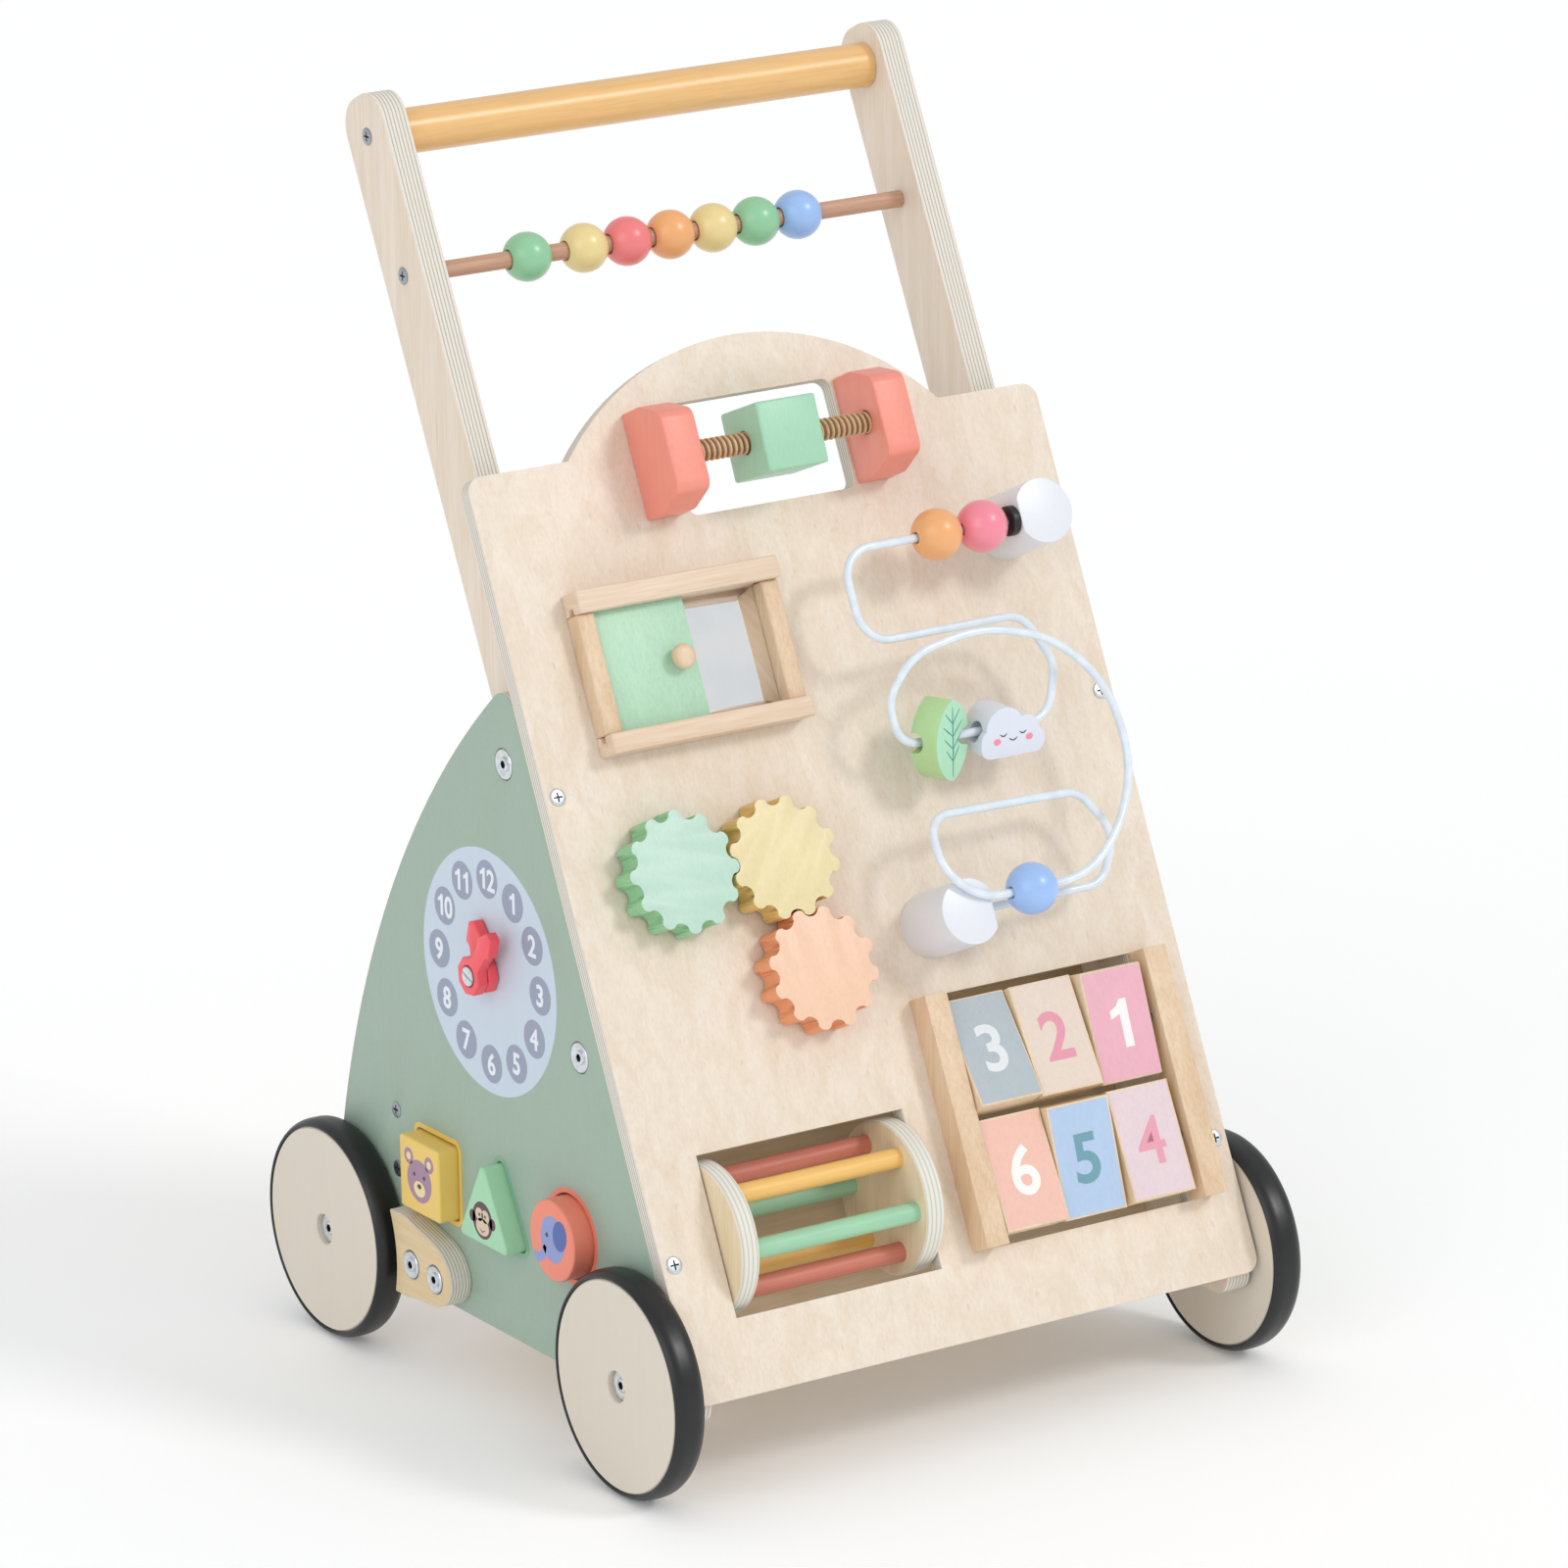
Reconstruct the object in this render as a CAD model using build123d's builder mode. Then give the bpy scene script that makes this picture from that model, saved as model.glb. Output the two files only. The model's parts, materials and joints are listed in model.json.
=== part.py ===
from build123d import *
import cmath
import math
import os

# A wooden baby walker with an activity panel. Millimetres, +Z up, the handle to +Y (behind),
# the activity panel facing -Y. The origin is on the ground, midway between the axles.
os.makedirs("parts", exist_ok=True)

# ---- activity panel (leans back; u runs across it, v up its slope, n out of its face) ----
panel_width = 264.0
panel_thick = 7.0
panel_lean = 24.65
panel_foot_y = -145.8
panel_foot_z = 44.0
shoulder_height = 364.0
crown_centre = 287.0
crown_radius = 115.4
panel_corner = 6.5

# ---- side panels ----
side_thick = 11.0
side_bottom_z = 32.5
side_top_z = 300.5
side_rear_mid = (65.5, 205.5)
side_rear_foot_y = 124.5
side_front_corner = 8.0
side_rear_corner = 18.0
side_top_corner = 9.0

# ---- wheels ----
wheel_radius = 45.0
wheel_width = 13.0
tyre_wall = 3.0
tyre_round = 2.4
wheelbase = 220.5
wheel_gap = 1.3
axle_bolt_radius = 3.0
bolt_head_radius = 6.0
bolt_head_height = 2.4
bolt_head_room = 0.5
bolt_recess = 2.0
wheel_recess = 5.3
nut_height = 3.0
stop_thick = 10.0
stop_tyre_gap = 5.5
stop_bolt_radius = 2.5
stop_bolt_head = 5.5
stop_bolt_places = ((48.4, 47.0), (30.4, 46.0))

# ---- handle ----
post_thick = 11.0
post_depth = 30.0
post_extra_lean = 1.0
post_anchor_v = 396.0
post_anchor_n = -27.0
post_below = 271.0
post_above = 126.5
post_top_corner = 12.0
post_bolt_drops = (139.5, 255.6)
handle_radius = 9.0
handle_rise = 110.3
abacus_rod_radius = 3.4
abacus_rise = 54.1
abacus_bead_radius = 9.8
abacus_bead_places = (-65.0, -39.0, -19.0, 1.0, 21.0, 41.0, 61.0)
abacus_bead_names = ("green_left", "yellow_left", "coral", "orange", "yellow_right", "green_right", "blue")
bead_hole_gap = 0.3

# ---- screws ----
screw_head_radius = 3.4
screw_head_sink = 1.2
screw_head_proud = 0.3
screw_radius = 1.75
screw_length = 30.0
side_screw_length = 22.0
panel_screw_heights = (54.6, 237.6)
drill_gap = 0.05
running_gap = 0.05

# ---- storage box behind the panel ----
inner_board_depth = 52.0
board_thick = 8.0
inner_board_foot = 16.0
inner_board_top = 175.0
chute_width = 34.0
chute_margin = 5.0
floor_z = 54.0
floor_front_gap = 1.5
back_board_y = 73.2
back_board_top_z = 118.0
side_screw_heights = (78.5, 103.2)

# ---- nut toy on its threaded rod ----
nut_v = 357.0
nut_window_width = 77.4
nut_window_height = 44.5
nut_window_corner = 4.4
vise_left = (-58.0, -43.0)
vise_right = (39.6, 54.6)
vise_base_half = 21.3
vise_front_half = 15.5
vise_straight = 13.0
vise_height = 28.0
vise_round = 5.0
thread_n = 16.0
thread_radius = 4.5
thread_seat = 8.0
nut_size = 27.5
nut_u = -2.7
nut_tilt = 3.0
nut_bore_gap = 0.3
nut_edge = 1.2

# ---- sliding door and mirror ----
door_left = -104.0
door_right = -12.3
door_rail_low = 248.6
door_rail_high = 312.8
door_bottom_rail = 8.0
door_top_rail = 8.8
door_stile = 8.0
door_frame_height = 12.0
door_stile_height = 8.4
mirror_thick = 1.5
door_width = 40.6
door_thick = 3.0
door_face_gap = 0.3
door_side_gap = 0.4
groove_depth = 2.6
door_n = 3.0
knob_offset = 8.2
knob_head_radius = 5.0
knob_neck_radius = 2.6
knob_neck = 2.0
knob_height = 7.0
knob_round = 2.2

# ---- gears ----
gear_teeth = 12
gear_pitch_radius = 22.5
gear_backlash = 0.16
lobe_shares = (0.12, 0.32, 0.5, 0.68, 0.88)
gear_thick = 12.0
gear_lift = 1.2
gear_pin_radius = 3.0
gear_pin_depth = 9.0
gear_centres = ((-87.6, 199.1), (-42.7, 196.8), (-37.7, 152.0))
gear_names = ("gear_green", "gear_yellow", "gear_orange")
green_gear_phase = -4.0

# ---- drum ----
drum_window_low = (-105.6, 29.7)
drum_window_high = (-11.2, 93.3)
drum_v = 61.9
drum_n = -14.8
drum_radius = 30.6
drum_disc = 8.0
drum_end_gap = 0.8
dowel_radius = 4.0
dowel_ring = 22.0
dowel_phase = -7.0
dowel_count = 6
bearing_v = (45.0, 80.0)
bearing_back_n = -35.0
bearing_right_width = 10.3
bearing_gap = 1.3
stub_pin_radius = 3.0

# ---- number blocks ----
block_window_low = (14.1, 32.9)
block_window_high = (107.8, 133.3)
block_width = 29.0
block_height = 44.8
block_thick = 11.7
block_n = 4.7
block_rows = (106.8, 59.0)
block_columns = (29.3, 59.1, 90.1)
block_tilts = ((13.6, 6.9, -4.0), (3.3, -7.3, 1.6))
block_numbers = ((3, 2, 1), (6, 5, 4))
block_rod_radius = 2.0
strip_widths = (10.1, 10.6)
strip_height = 12.0
strip_rod_seat = 7.0

# ---- bead maze ----
maze_post_radius = 13.0
maze_post_height = 32.0
maze_post_upper = (100.1, 308.4)
maze_post_lower = (21.4, 160.2)
maze_flat_upper = 11.2
maze_flat_lower = 10.3
wire_radius = 1.7
wire_seat = 6.0
wire_corner = 13.0
wire_corner_turn = 45.0
wire_bend_share = 0.48
wire_fit = 0.05
washer_radius = 6.0
washer_width = 3.4
maze_bead_radius = 10.3
maze_bead_gap = 0.45
pink_bead_u = 73.9
orange_bead_u = 52.4
blue_bead_place = (50.0, 163.9, 33.5)
leaf_u = 33.5
leaf_height = 33.0
leaf_width = 24.0
leaf_thick = 12.0
leaf_belly = 0.5
leaf_turn = 25.0
cloud_u = 64.3
cloud_width = 30.0
cloud_height = 20.0
cloud_thick = 15.0
cloud_puffs = ((-3.75, 1.25, 8.75), (6.0, -1.0, 6.5), (-10.0, -3.0, 5.0))
charm_hole_radius = 4.1

# ---- clock on the left side panel ----
clock_y = -1.8
clock_z = 179.8
hand_thick = 4.5
hand_gap = 0.4
hand_hub = 8.0
hand_tip = 1.9
hand_barb_drop = 7.5
hand_shoulder_drop = 9.5
hub_sides = 8
minute_reach = 25.5
minute_neck = 3.4
minute_barb = 5.2
minute_turn = 39.0
hour_reach = 20.8
hour_neck = 4.4
hour_barb = 6.2
hour_turn = -14.0
clock_pin_radius = 2.0
clock_screw_radius = 4.0
clock_screw_height = 1.6
clock_screw_gap = 0.35

# ---- shape sorter in the left side panel ----
shape_proud = 8.8
shape_inset = 0.4
shape_gap = 1.0
square_place = (41.7, 84.8)
square_size = 30.0
square_corner = 1.6
triangle_place = (-6.1, 70.8)
triangle_base = 37.2
triangle_height = 34.4
triangle_corner = 2.2
circle_place = (-57.6, 87.5)
circle_radius = 16.3

# ---- derived places ----
lean = math.radians(panel_lean)
up_slope = Vector(0, math.sin(lean), math.cos(lean))
out_of_panel = Vector(0, -math.cos(lean), math.sin(lean))
panel_foot = Vector(0, panel_foot_y, panel_foot_z)
panel = Plane(origin=panel_foot, x_dir=(1, 0, 0), z_dir=out_of_panel)
section = Plane(origin=panel_foot, x_dir=up_slope, z_dir=(1, 0, 0))
side_outer = panel_width / 2
side_inner = side_outer - side_thick
post_inner = side_inner - post_thick
axle_ys = (-wheelbase / 2, wheelbase / 2)
axle_z = wheel_radius
wheel_inner = side_outer + wheel_gap
wheel_outer = wheel_inner + wheel_width
post_lean = math.radians(panel_lean + post_extra_lean)
post_dir = Vector(0, math.sin(post_lean), math.cos(post_lean))
post_anchor = panel_foot + up_slope * post_anchor_v + out_of_panel * post_anchor_n
post_plane = Plane(origin=post_anchor, x_dir=post_dir, z_dir=(1, 0, 0))
thread_centre = (nut_v, thread_n)
edge_screw_u = side_outer - side_thick / 2
sides = ((-1, "left"), (1, "right"))


def span(side, inner, outer):
    """Low and high X of something that reaches from inner to outer on one side."""
    return (inner, outer) if side > 0 else (-outer, -inner)


def peg(plane, at, radius, low, high, mode=Mode.ADD):
    """A round peg along a plane's normal, between two distances from the plane."""
    with BuildSketch(plane.offset(low)) as end_face:
        with Locations(at):
            Circle(radius)
    extrude(end_face.sketch, amount=high - low, mode=mode)


def behind_board(z, depth):
    """Y of the point at height z that lies at the given depth behind the panel's face."""
    v = (z - panel_foot_z + depth * math.sin(lean)) / math.cos(lean)
    return panel_foot_y + v * math.sin(lean) + depth * math.cos(lean)


def vise_outline():
    """The end profile of a block that holds the threaded rod, on the section plane."""
    return [
        (nut_v - vise_base_half, 0),
        (nut_v - vise_base_half, vise_straight),
        (nut_v - vise_front_half, vise_height),
        (nut_v + vise_front_half, vise_height),
        (nut_v + vise_base_half, vise_straight),
        (nut_v + vise_base_half, 0),
    ]


def gear_outline(centre, phase):
    """Points of a gear with round cycloid teeth, drawn inwards by the backlash."""
    roll = gear_pitch_radius / (2 * gear_teeth)
    lobe = math.pi / gear_teeth

    def lobe_point(index, angle):
        turn = cmath.exp(1j * index * lobe)
        if index % 2 == 0:
            reach = gear_pitch_radius + roll
            rolled = cmath.exp(1j * angle * reach / roll) * roll
            return turn * (cmath.exp(1j * angle) * reach - rolled)
        reach = gear_pitch_radius - roll
        rolled = cmath.exp(-1j * angle * reach / roll) * roll
        return turn * (cmath.exp(1j * angle) * reach + rolled)

    points = []
    nudge = lobe / 1000
    start = cmath.exp(1j * (math.radians(phase) - lobe / 2))
    for index in range(2 * gear_teeth):
        for share in lobe_shares:
            here = lobe_point(index, share * lobe)
            ahead = lobe_point(index, share * lobe + nudge) - here
            inward = 1j * ahead / abs(ahead)
            point = (here + inward * gear_backlash) * start
            points.append((centre[0] + point.real, centre[1] + point.imag))
    return points


def gear_phase(place, from_place, from_phase):
    """The phase that meshes a gear with a neighbour whose phase is known."""
    along = math.degrees(math.atan2(place[1] - from_place[1], place[0] - from_place[0]))
    pitch = 360 / gear_teeth
    return (along + 180) + pitch / 2 + (along - from_phase)


def bead(plane, radius, hole):
    """A round bead at a plane's origin with its hole along the plane's normal."""
    with BuildPart(plane) as ball:
        Sphere(radius)
        Cylinder(hole, 3 * radius, mode=Mode.SUBTRACT)
    return ball


def shape_outline(kind, grow, mode=Mode.ADD):
    """Outline of a sorter shape in the open sketch, grown evenly by a gap."""
    if kind == "square":
        with Locations(square_place):
            side = square_size + 2 * grow
            RectangleRounded(side, side, square_corner + grow, mode=mode)
    elif kind == "circle":
        with Locations(circle_place):
            Circle(circle_radius + grow, mode=mode)
    else:
        half = triangle_base / 2
        middle, foot = triangle_place
        corners = [(middle - half, foot), (middle + half, foot), (middle, foot + triangle_height)]
        with BuildSketch(mode=Mode.PRIVATE) as outline:
            with BuildLine():
                Polyline(*corners, close=True)
            make_face()
            fillet(outline.vertices(), triangle_corner)
            if grow > 0:
                offset(amount=grow)
        add(outline.sketch, mode=mode)


# ---- activity panel ----
with BuildPart() as front_panel:
    with BuildSketch(panel.offset(-panel_thick)) as panel_face:
        with Locations((0, shoulder_height / 2)):
            Rectangle(panel_width, shoulder_height)
        fillet(panel_face.vertices(), panel_corner)
        with Locations((0, crown_centre)):
            Circle(crown_radius)
        with Locations((0, nut_v)):
            RectangleRounded(nut_window_width, nut_window_height, nut_window_corner, mode=Mode.SUBTRACT)
        for low, high in ((drum_window_low, drum_window_high), (block_window_low, block_window_high)):
            with Locations(((low[0] + high[0]) / 2, (low[1] + high[1]) / 2)):
                Rectangle(high[0] - low[0], high[1] - low[1], mode=Mode.SUBTRACT)
    extrude(amount=panel_thick)
    for centre in gear_centres:
        peg(panel, centre, gear_pin_radius + drill_gap, -panel_thick, 0, Mode.SUBTRACT)
    for side, _ in sides:
        for height in panel_screw_heights:
            at = (side * edge_screw_u, height)
            peg(panel, at, screw_radius + drill_gap, -panel_thick, 0, Mode.SUBTRACT)
            head_radius = screw_head_radius + drill_gap
            peg(panel, at, head_radius, -screw_head_sink, 0, Mode.SUBTRACT)
front_panel.part.label = "front_panel"
export_step(front_panel.part, "parts/front_panel.step")

# ---- side panels ----
panel_back = panel_thick
foot_corner = (behind_board(side_bottom_z, panel_back), side_bottom_z)
top_corner = (behind_board(side_top_z, panel_back), side_top_z)
rear_corner = (side_rear_foot_y, side_bottom_z)
shape_kinds = ("square", "triangle", "circle")


def side_panel(side):
    """One side panel with its drilled holes; the left one has the shape holes too."""
    low, high = span(side, side_inner, side_outer)
    with BuildPart() as board:
        with BuildSketch(Plane.YZ.offset(low)) as outline:
            with BuildLine():
                Line(foot_corner, top_corner)
                ThreePointArc(top_corner, side_rear_mid, rear_corner)
                Line(rear_corner, foot_corner)
            make_face()
            fillet(outline.vertices().sort_by(Axis.Y)[-1:], side_top_corner)
            fillet(outline.vertices().sort_by(Axis.X)[-1:], side_rear_corner)
            fillet(outline.vertices().sort_by(Axis.X)[:1], side_front_corner)
            if side < 0:
                for kind in shape_kinds:
                    shape_outline(kind, shape_gap, Mode.SUBTRACT)
        extrude(amount=side_thick)
        for y in axle_ys:
            peg(Plane.YZ, (y, axle_z), axle_bolt_radius + drill_gap, low, high, Mode.SUBTRACT)
        for place in stop_bolt_places:
            peg(Plane.YZ, place, stop_bolt_radius + drill_gap, low, high, Mode.SUBTRACT)
        for height in side_screw_heights:
            peg(Plane.YZ, (back_board_y, height), screw_radius + drill_gap, low, high, Mode.SUBTRACT)
            sunk = span(side, side_outer - screw_head_sink, side_outer)
            peg(Plane.YZ, (back_board_y, height), screw_head_radius + drill_gap, *sunk, Mode.SUBTRACT)
        for drop in post_bolt_drops:
            peg(post_plane, (-drop, 0), axle_bolt_radius + drill_gap, low, high, Mode.SUBTRACT)
            sunk = span(side, side_outer - bolt_recess, side_outer)
            peg(post_plane, (-drop, 0), bolt_head_radius + bolt_head_room, *sunk, Mode.SUBTRACT)
        for height in panel_screw_heights:
            at = (side * edge_screw_u, height)
            peg(panel, at, screw_radius + drill_gap, -screw_length, 0, Mode.SUBTRACT)
        if side < 0:
            at = (clock_y, clock_z)
            peg(Plane.YZ, at, clock_pin_radius + drill_gap, low, high, Mode.SUBTRACT)
    return board


for side, side_name in sides:
    board = side_panel(side)
    board.part.label = f"side_panel_{side_name}"
    export_step(board.part, f"parts/side_panel_{side_name}.step")

# ---- handle: two posts, the grip bar and the bead rod ----
with BuildPart() as handle_posts:
    for side, _ in sides:
        low, high = span(side, post_inner, side_inner)
        with BuildSketch(post_plane.offset(low)) as slat:
            with Locations(((post_above - post_below) / 2, 0)):
                Rectangle(post_above + post_below, post_depth)
            fillet(slat.vertices().sort_by(Axis.X)[-2:], post_top_corner)
        extrude(amount=post_thick)
        for rise in (handle_rise, abacus_rise):
            peg(post_plane, (rise, 0), screw_radius + drill_gap, low, high, Mode.SUBTRACT)
            sunk = span(side, side_inner - screw_head_sink, side_inner)
            peg(post_plane, (rise, 0), screw_head_radius + drill_gap, *sunk, Mode.SUBTRACT)
        for drop in post_bolt_drops:
            peg(post_plane, (-drop, 0), axle_bolt_radius + drill_gap, low, high, Mode.SUBTRACT)
handle_posts.part.label = "handle_posts"
export_step(handle_posts.part, "parts/handle_posts.step")

bar_drill = side_screw_length - post_thick
with BuildPart() as handle_bar:
    peg(post_plane, (handle_rise, 0), handle_radius, -post_inner, post_inner)
    for side, _ in sides:
        drilled = span(side, post_inner - bar_drill, post_inner)
        peg(post_plane, (handle_rise, 0), screw_radius + drill_gap, *drilled, Mode.SUBTRACT)
handle_bar.part.label = "handle_bar"
export_step(handle_bar.part, "parts/handle_bar.step")

with BuildPart() as abacus_rod:
    peg(post_plane, (abacus_rise, 0), abacus_rod_radius, -post_inner, post_inner)
    for side, _ in sides:
        drilled = span(side, post_inner - bar_drill, post_inner)
        peg(post_plane, (abacus_rise, 0), screw_radius + drill_gap, *drilled, Mode.SUBTRACT)
abacus_rod.part.label = "abacus_rod"
export_step(abacus_rod.part, "parts/abacus_rod.step")

abacus_line = post_anchor + post_dir * abacus_rise
for place, colour in zip(abacus_bead_places, abacus_bead_names):
    bead_plane = Plane(origin=abacus_line + Vector(place, 0, 0), x_dir=post_dir, z_dir=(1, 0, 0))
    abacus_bead = bead(bead_plane, abacus_bead_radius, abacus_rod_radius + bead_hole_gap)
    abacus_bead.part.label = f"abacus_bead_{colour}"
    export_step(abacus_bead.part, f"parts/abacus_bead_{colour}.step")

# ---- storage box ----
board_v = (inner_board_foot + inner_board_top) / 2
circle_y, circle_z = circle_place
chute_v = (circle_y - panel_foot_y) * math.sin(lean) + (circle_z - panel_foot_z) * math.cos(lean)
with BuildPart() as inner_board:
    with BuildSketch(panel.offset(-inner_board_depth - board_thick)):
        with Locations((0, board_v)):
            Rectangle(2 * side_inner, inner_board_top - inner_board_foot)
        with Locations((-side_inner + chute_width / 2, chute_v)):
            Rectangle(chute_width, 2 * (circle_radius + chute_margin), mode=Mode.SUBTRACT)
    extrude(amount=board_thick)
inner_board.part.label = "inner_board"
export_step(inner_board.part, "parts/inner_board.step")

floor_top_z = floor_z + board_thick
board_back_depth = inner_board_depth + board_thick
back_low_y = back_board_y - board_thick / 2
back_high_y = back_board_y + board_thick / 2
floor_profile = (
    (behind_board(floor_z, board_back_depth) + floor_front_gap, floor_z),
    (back_high_y, floor_z),
    (back_high_y, floor_top_z),
    (behind_board(floor_top_z, board_back_depth) + floor_front_gap, floor_top_z),
)
with BuildPart() as storage_boards:
    with BuildSketch(Plane.YZ.offset(-side_inner)):
        with BuildLine():
            Polyline(*floor_profile, close=True)
        make_face()
        with Locations((back_board_y, (floor_top_z + back_board_top_z) / 2)):
            Rectangle(board_thick, back_board_top_z - floor_top_z)
    extrude(amount=2 * side_inner)
    for side, _ in sides:
        for height in side_screw_heights:
            drilled = span(side, side_outer - side_screw_length, side_inner)
            peg(Plane.YZ, (back_board_y, height), screw_radius + drill_gap, *drilled, Mode.SUBTRACT)
storage_boards.part.label = "storage_boards"
export_step(storage_boards.part, "parts/storage_boards.step")

# ---- wheels ----
disc_radius = wheel_radius - tyre_wall
for side, side_name in sides:
    for axle_y, end_name in zip(axle_ys, ("front", "rear")):
        low, high = span(side, wheel_inner, wheel_outer)
        axle = (axle_y, axle_z)
        recess = span(side, wheel_outer - wheel_recess, wheel_outer)
        with BuildPart() as wheel_disc:
            peg(Plane.YZ, axle, disc_radius, low, high)
            peg(Plane.YZ, axle, axle_bolt_radius + running_gap, low, high, Mode.SUBTRACT)
            peg(Plane.YZ, axle, bolt_head_radius + bolt_head_room, *recess, Mode.SUBTRACT)
        wheel_disc.part.label = f"wheel_disc_{end_name}_{side_name}"
        export_step(wheel_disc.part, f"parts/wheel_disc_{end_name}_{side_name}.step")
        with BuildPart() as tyre:
            peg(Plane.YZ, axle, wheel_radius, low, high)
            fillet(tyre.edges().filter_by(GeomType.CIRCLE), tyre_round)
            peg(Plane.YZ, axle, disc_radius, low, high, Mode.SUBTRACT)
        tyre.part.label = f"tyre_{end_name}_{side_name}"
        export_step(tyre.part, f"parts/tyre_{end_name}_{side_name}.step")

# ---- wheel stops: rounded noses that end in a curve round the rear tyre ----
stop_outer = side_outer + stop_thick
stop_nose = ((52.0, 66.0), (36.1, 61.9), (22.7, 55.8), (18.2, 46.5), (22.0, 38.2), (34.2, 34.2), (52.0, 32.3))
with BuildPart() as wheel_stops:
    for side, _ in sides:
        low, high = span(side, side_outer, stop_outer)
        with BuildSketch(Plane.YZ.offset(low)):
            with BuildLine():
                Spline(*stop_nose)
                Line(stop_nose[-1], (axle_ys[1], stop_nose[-1][1]))
                Line((axle_ys[1], stop_nose[-1][1]), (axle_ys[1], stop_nose[0][1]))
                Line((axle_ys[1], stop_nose[0][1]), stop_nose[0])
            make_face()
            with Locations((axle_ys[1], axle_z)):
                Circle(wheel_radius + stop_tyre_gap, mode=Mode.SUBTRACT)
        extrude(amount=stop_thick)
        recess = span(side, stop_outer - bolt_recess, stop_outer)
        for place in stop_bolt_places:
            peg(Plane.YZ, place, stop_bolt_radius + drill_gap, low, high, Mode.SUBTRACT)
            peg(Plane.YZ, place, stop_bolt_head + bolt_head_room, *recess, Mode.SUBTRACT)
wheel_stops.part.label = "wheel_stops"
export_step(wheel_stops.part, "parts/wheel_stops.step")

# ---- bolts: axle bolts, post bolts and stop bolts, each with its nut ----
axle_head = wheel_outer - wheel_recess + wheel_gap / 4
with BuildPart() as zinc_bolts:
    for side, _ in sides:
        for axle_y in axle_ys:
            axle = (axle_y, axle_z)
            peg(Plane.YZ, axle, axle_bolt_radius, *span(side, side_inner - nut_height, axle_head))
            peg(Plane.YZ, axle, bolt_head_radius, *span(side, axle_head, axle_head + bolt_head_height))
            peg(Plane.YZ, axle, bolt_head_radius, *span(side, side_inner - nut_height, side_inner))
            peg(Plane.YZ, axle, bolt_head_radius, *span(side, side_outer, side_outer + wheel_gap / 2))
        for drop in post_bolt_drops:
            seat = side_outer - bolt_recess
            at = (-drop, 0)
            peg(post_plane, at, axle_bolt_radius, *span(side, post_inner - nut_height, seat))
            peg(post_plane, at, bolt_head_radius, *span(side, seat, seat + bolt_head_height))
            peg(post_plane, at, bolt_head_radius, *span(side, post_inner - nut_height, post_inner))
        for place in stop_bolt_places:
            seat = stop_outer - bolt_recess
            peg(Plane.YZ, place, stop_bolt_radius, *span(side, side_inner - nut_height, seat))
            peg(Plane.YZ, place, stop_bolt_head, *span(side, seat, seat + bolt_head_height))
            peg(Plane.YZ, place, stop_bolt_head, *span(side, side_inner - nut_height, side_inner))
zinc_bolts.part.label = "zinc_bolts"
export_step(zinc_bolts.part, "parts/zinc_bolts.step")

# ---- wood screws: panel edges, storage back board, handle bar and bead rod ----
with BuildPart() as wood_screws:
    for side, _ in sides:
        for height in panel_screw_heights:
            at = (side * edge_screw_u, height)
            peg(panel, at, screw_radius, -screw_length, -screw_head_sink)
            peg(panel, at, screw_head_radius, -screw_head_sink, screw_head_proud)
        for height in side_screw_heights:
            at = (back_board_y, height)
            seat = side_outer - screw_head_sink
            peg(Plane.YZ, at, screw_radius, *span(side, side_outer - side_screw_length, seat))
            peg(Plane.YZ, at, screw_head_radius, *span(side, seat, side_outer + screw_head_proud))
        for rise in (handle_rise, abacus_rise):
            at = (rise, 0)
            seat = side_inner - screw_head_sink
            peg(post_plane, at, screw_radius, *span(side, side_inner - side_screw_length, seat))
            peg(post_plane, at, screw_head_radius, *span(side, seat, side_inner + screw_head_proud))
wood_screws.part.label = "wood_screws"
export_step(wood_screws.part, "parts/wood_screws.step")

# ---- nut toy: two blocks, the threaded rod and the cube that runs along it ----
with BuildPart() as vise_blocks:
    for low, high in (vise_left, vise_right):
        with BuildSketch(section.offset(low)) as profile:
            with BuildLine():
                Polyline(*vise_outline(), close=True)
            make_face()
            fillet(profile.vertices().sort_by(Axis.Y)[-4:], vise_round)
        extrude(amount=high - low)
    seat_low = vise_left[1] - thread_seat - running_gap
    seat_high = vise_right[0] + thread_seat + running_gap
    peg(section, thread_centre, thread_radius + running_gap, seat_low, seat_high, Mode.SUBTRACT)
vise_blocks.part.label = "vise_blocks"
export_step(vise_blocks.part, "parts/vise_blocks.step")

with BuildPart() as threaded_rod:
    rod_low = vise_left[1] - thread_seat
    rod_high = vise_right[0] + thread_seat
    peg(section, thread_centre, thread_radius, rod_low, rod_high)
threaded_rod.part.label = "threaded_rod"
export_step(threaded_rod.part, "parts/threaded_rod.step")

nut_centre = panel_foot + up_slope * nut_v + out_of_panel * thread_n + Vector(nut_u, 0, 0)
nut_turn = math.radians(nut_tilt)
nut_side = up_slope * math.cos(nut_turn) + out_of_panel * math.sin(nut_turn)
nut_plane = Plane(origin=nut_centre, x_dir=nut_side, z_dir=(1, 0, 0))
with BuildPart(nut_plane) as nut_cube:
    Box(nut_size, nut_size, nut_size)
    fillet(nut_cube.edges(), nut_edge)
    Cylinder(thread_radius + nut_bore_gap, 2 * nut_size, mode=Mode.SUBTRACT)
nut_cube.part.label = "nut_cube"
export_step(nut_cube.part, "parts/nut_cube.step")

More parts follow.
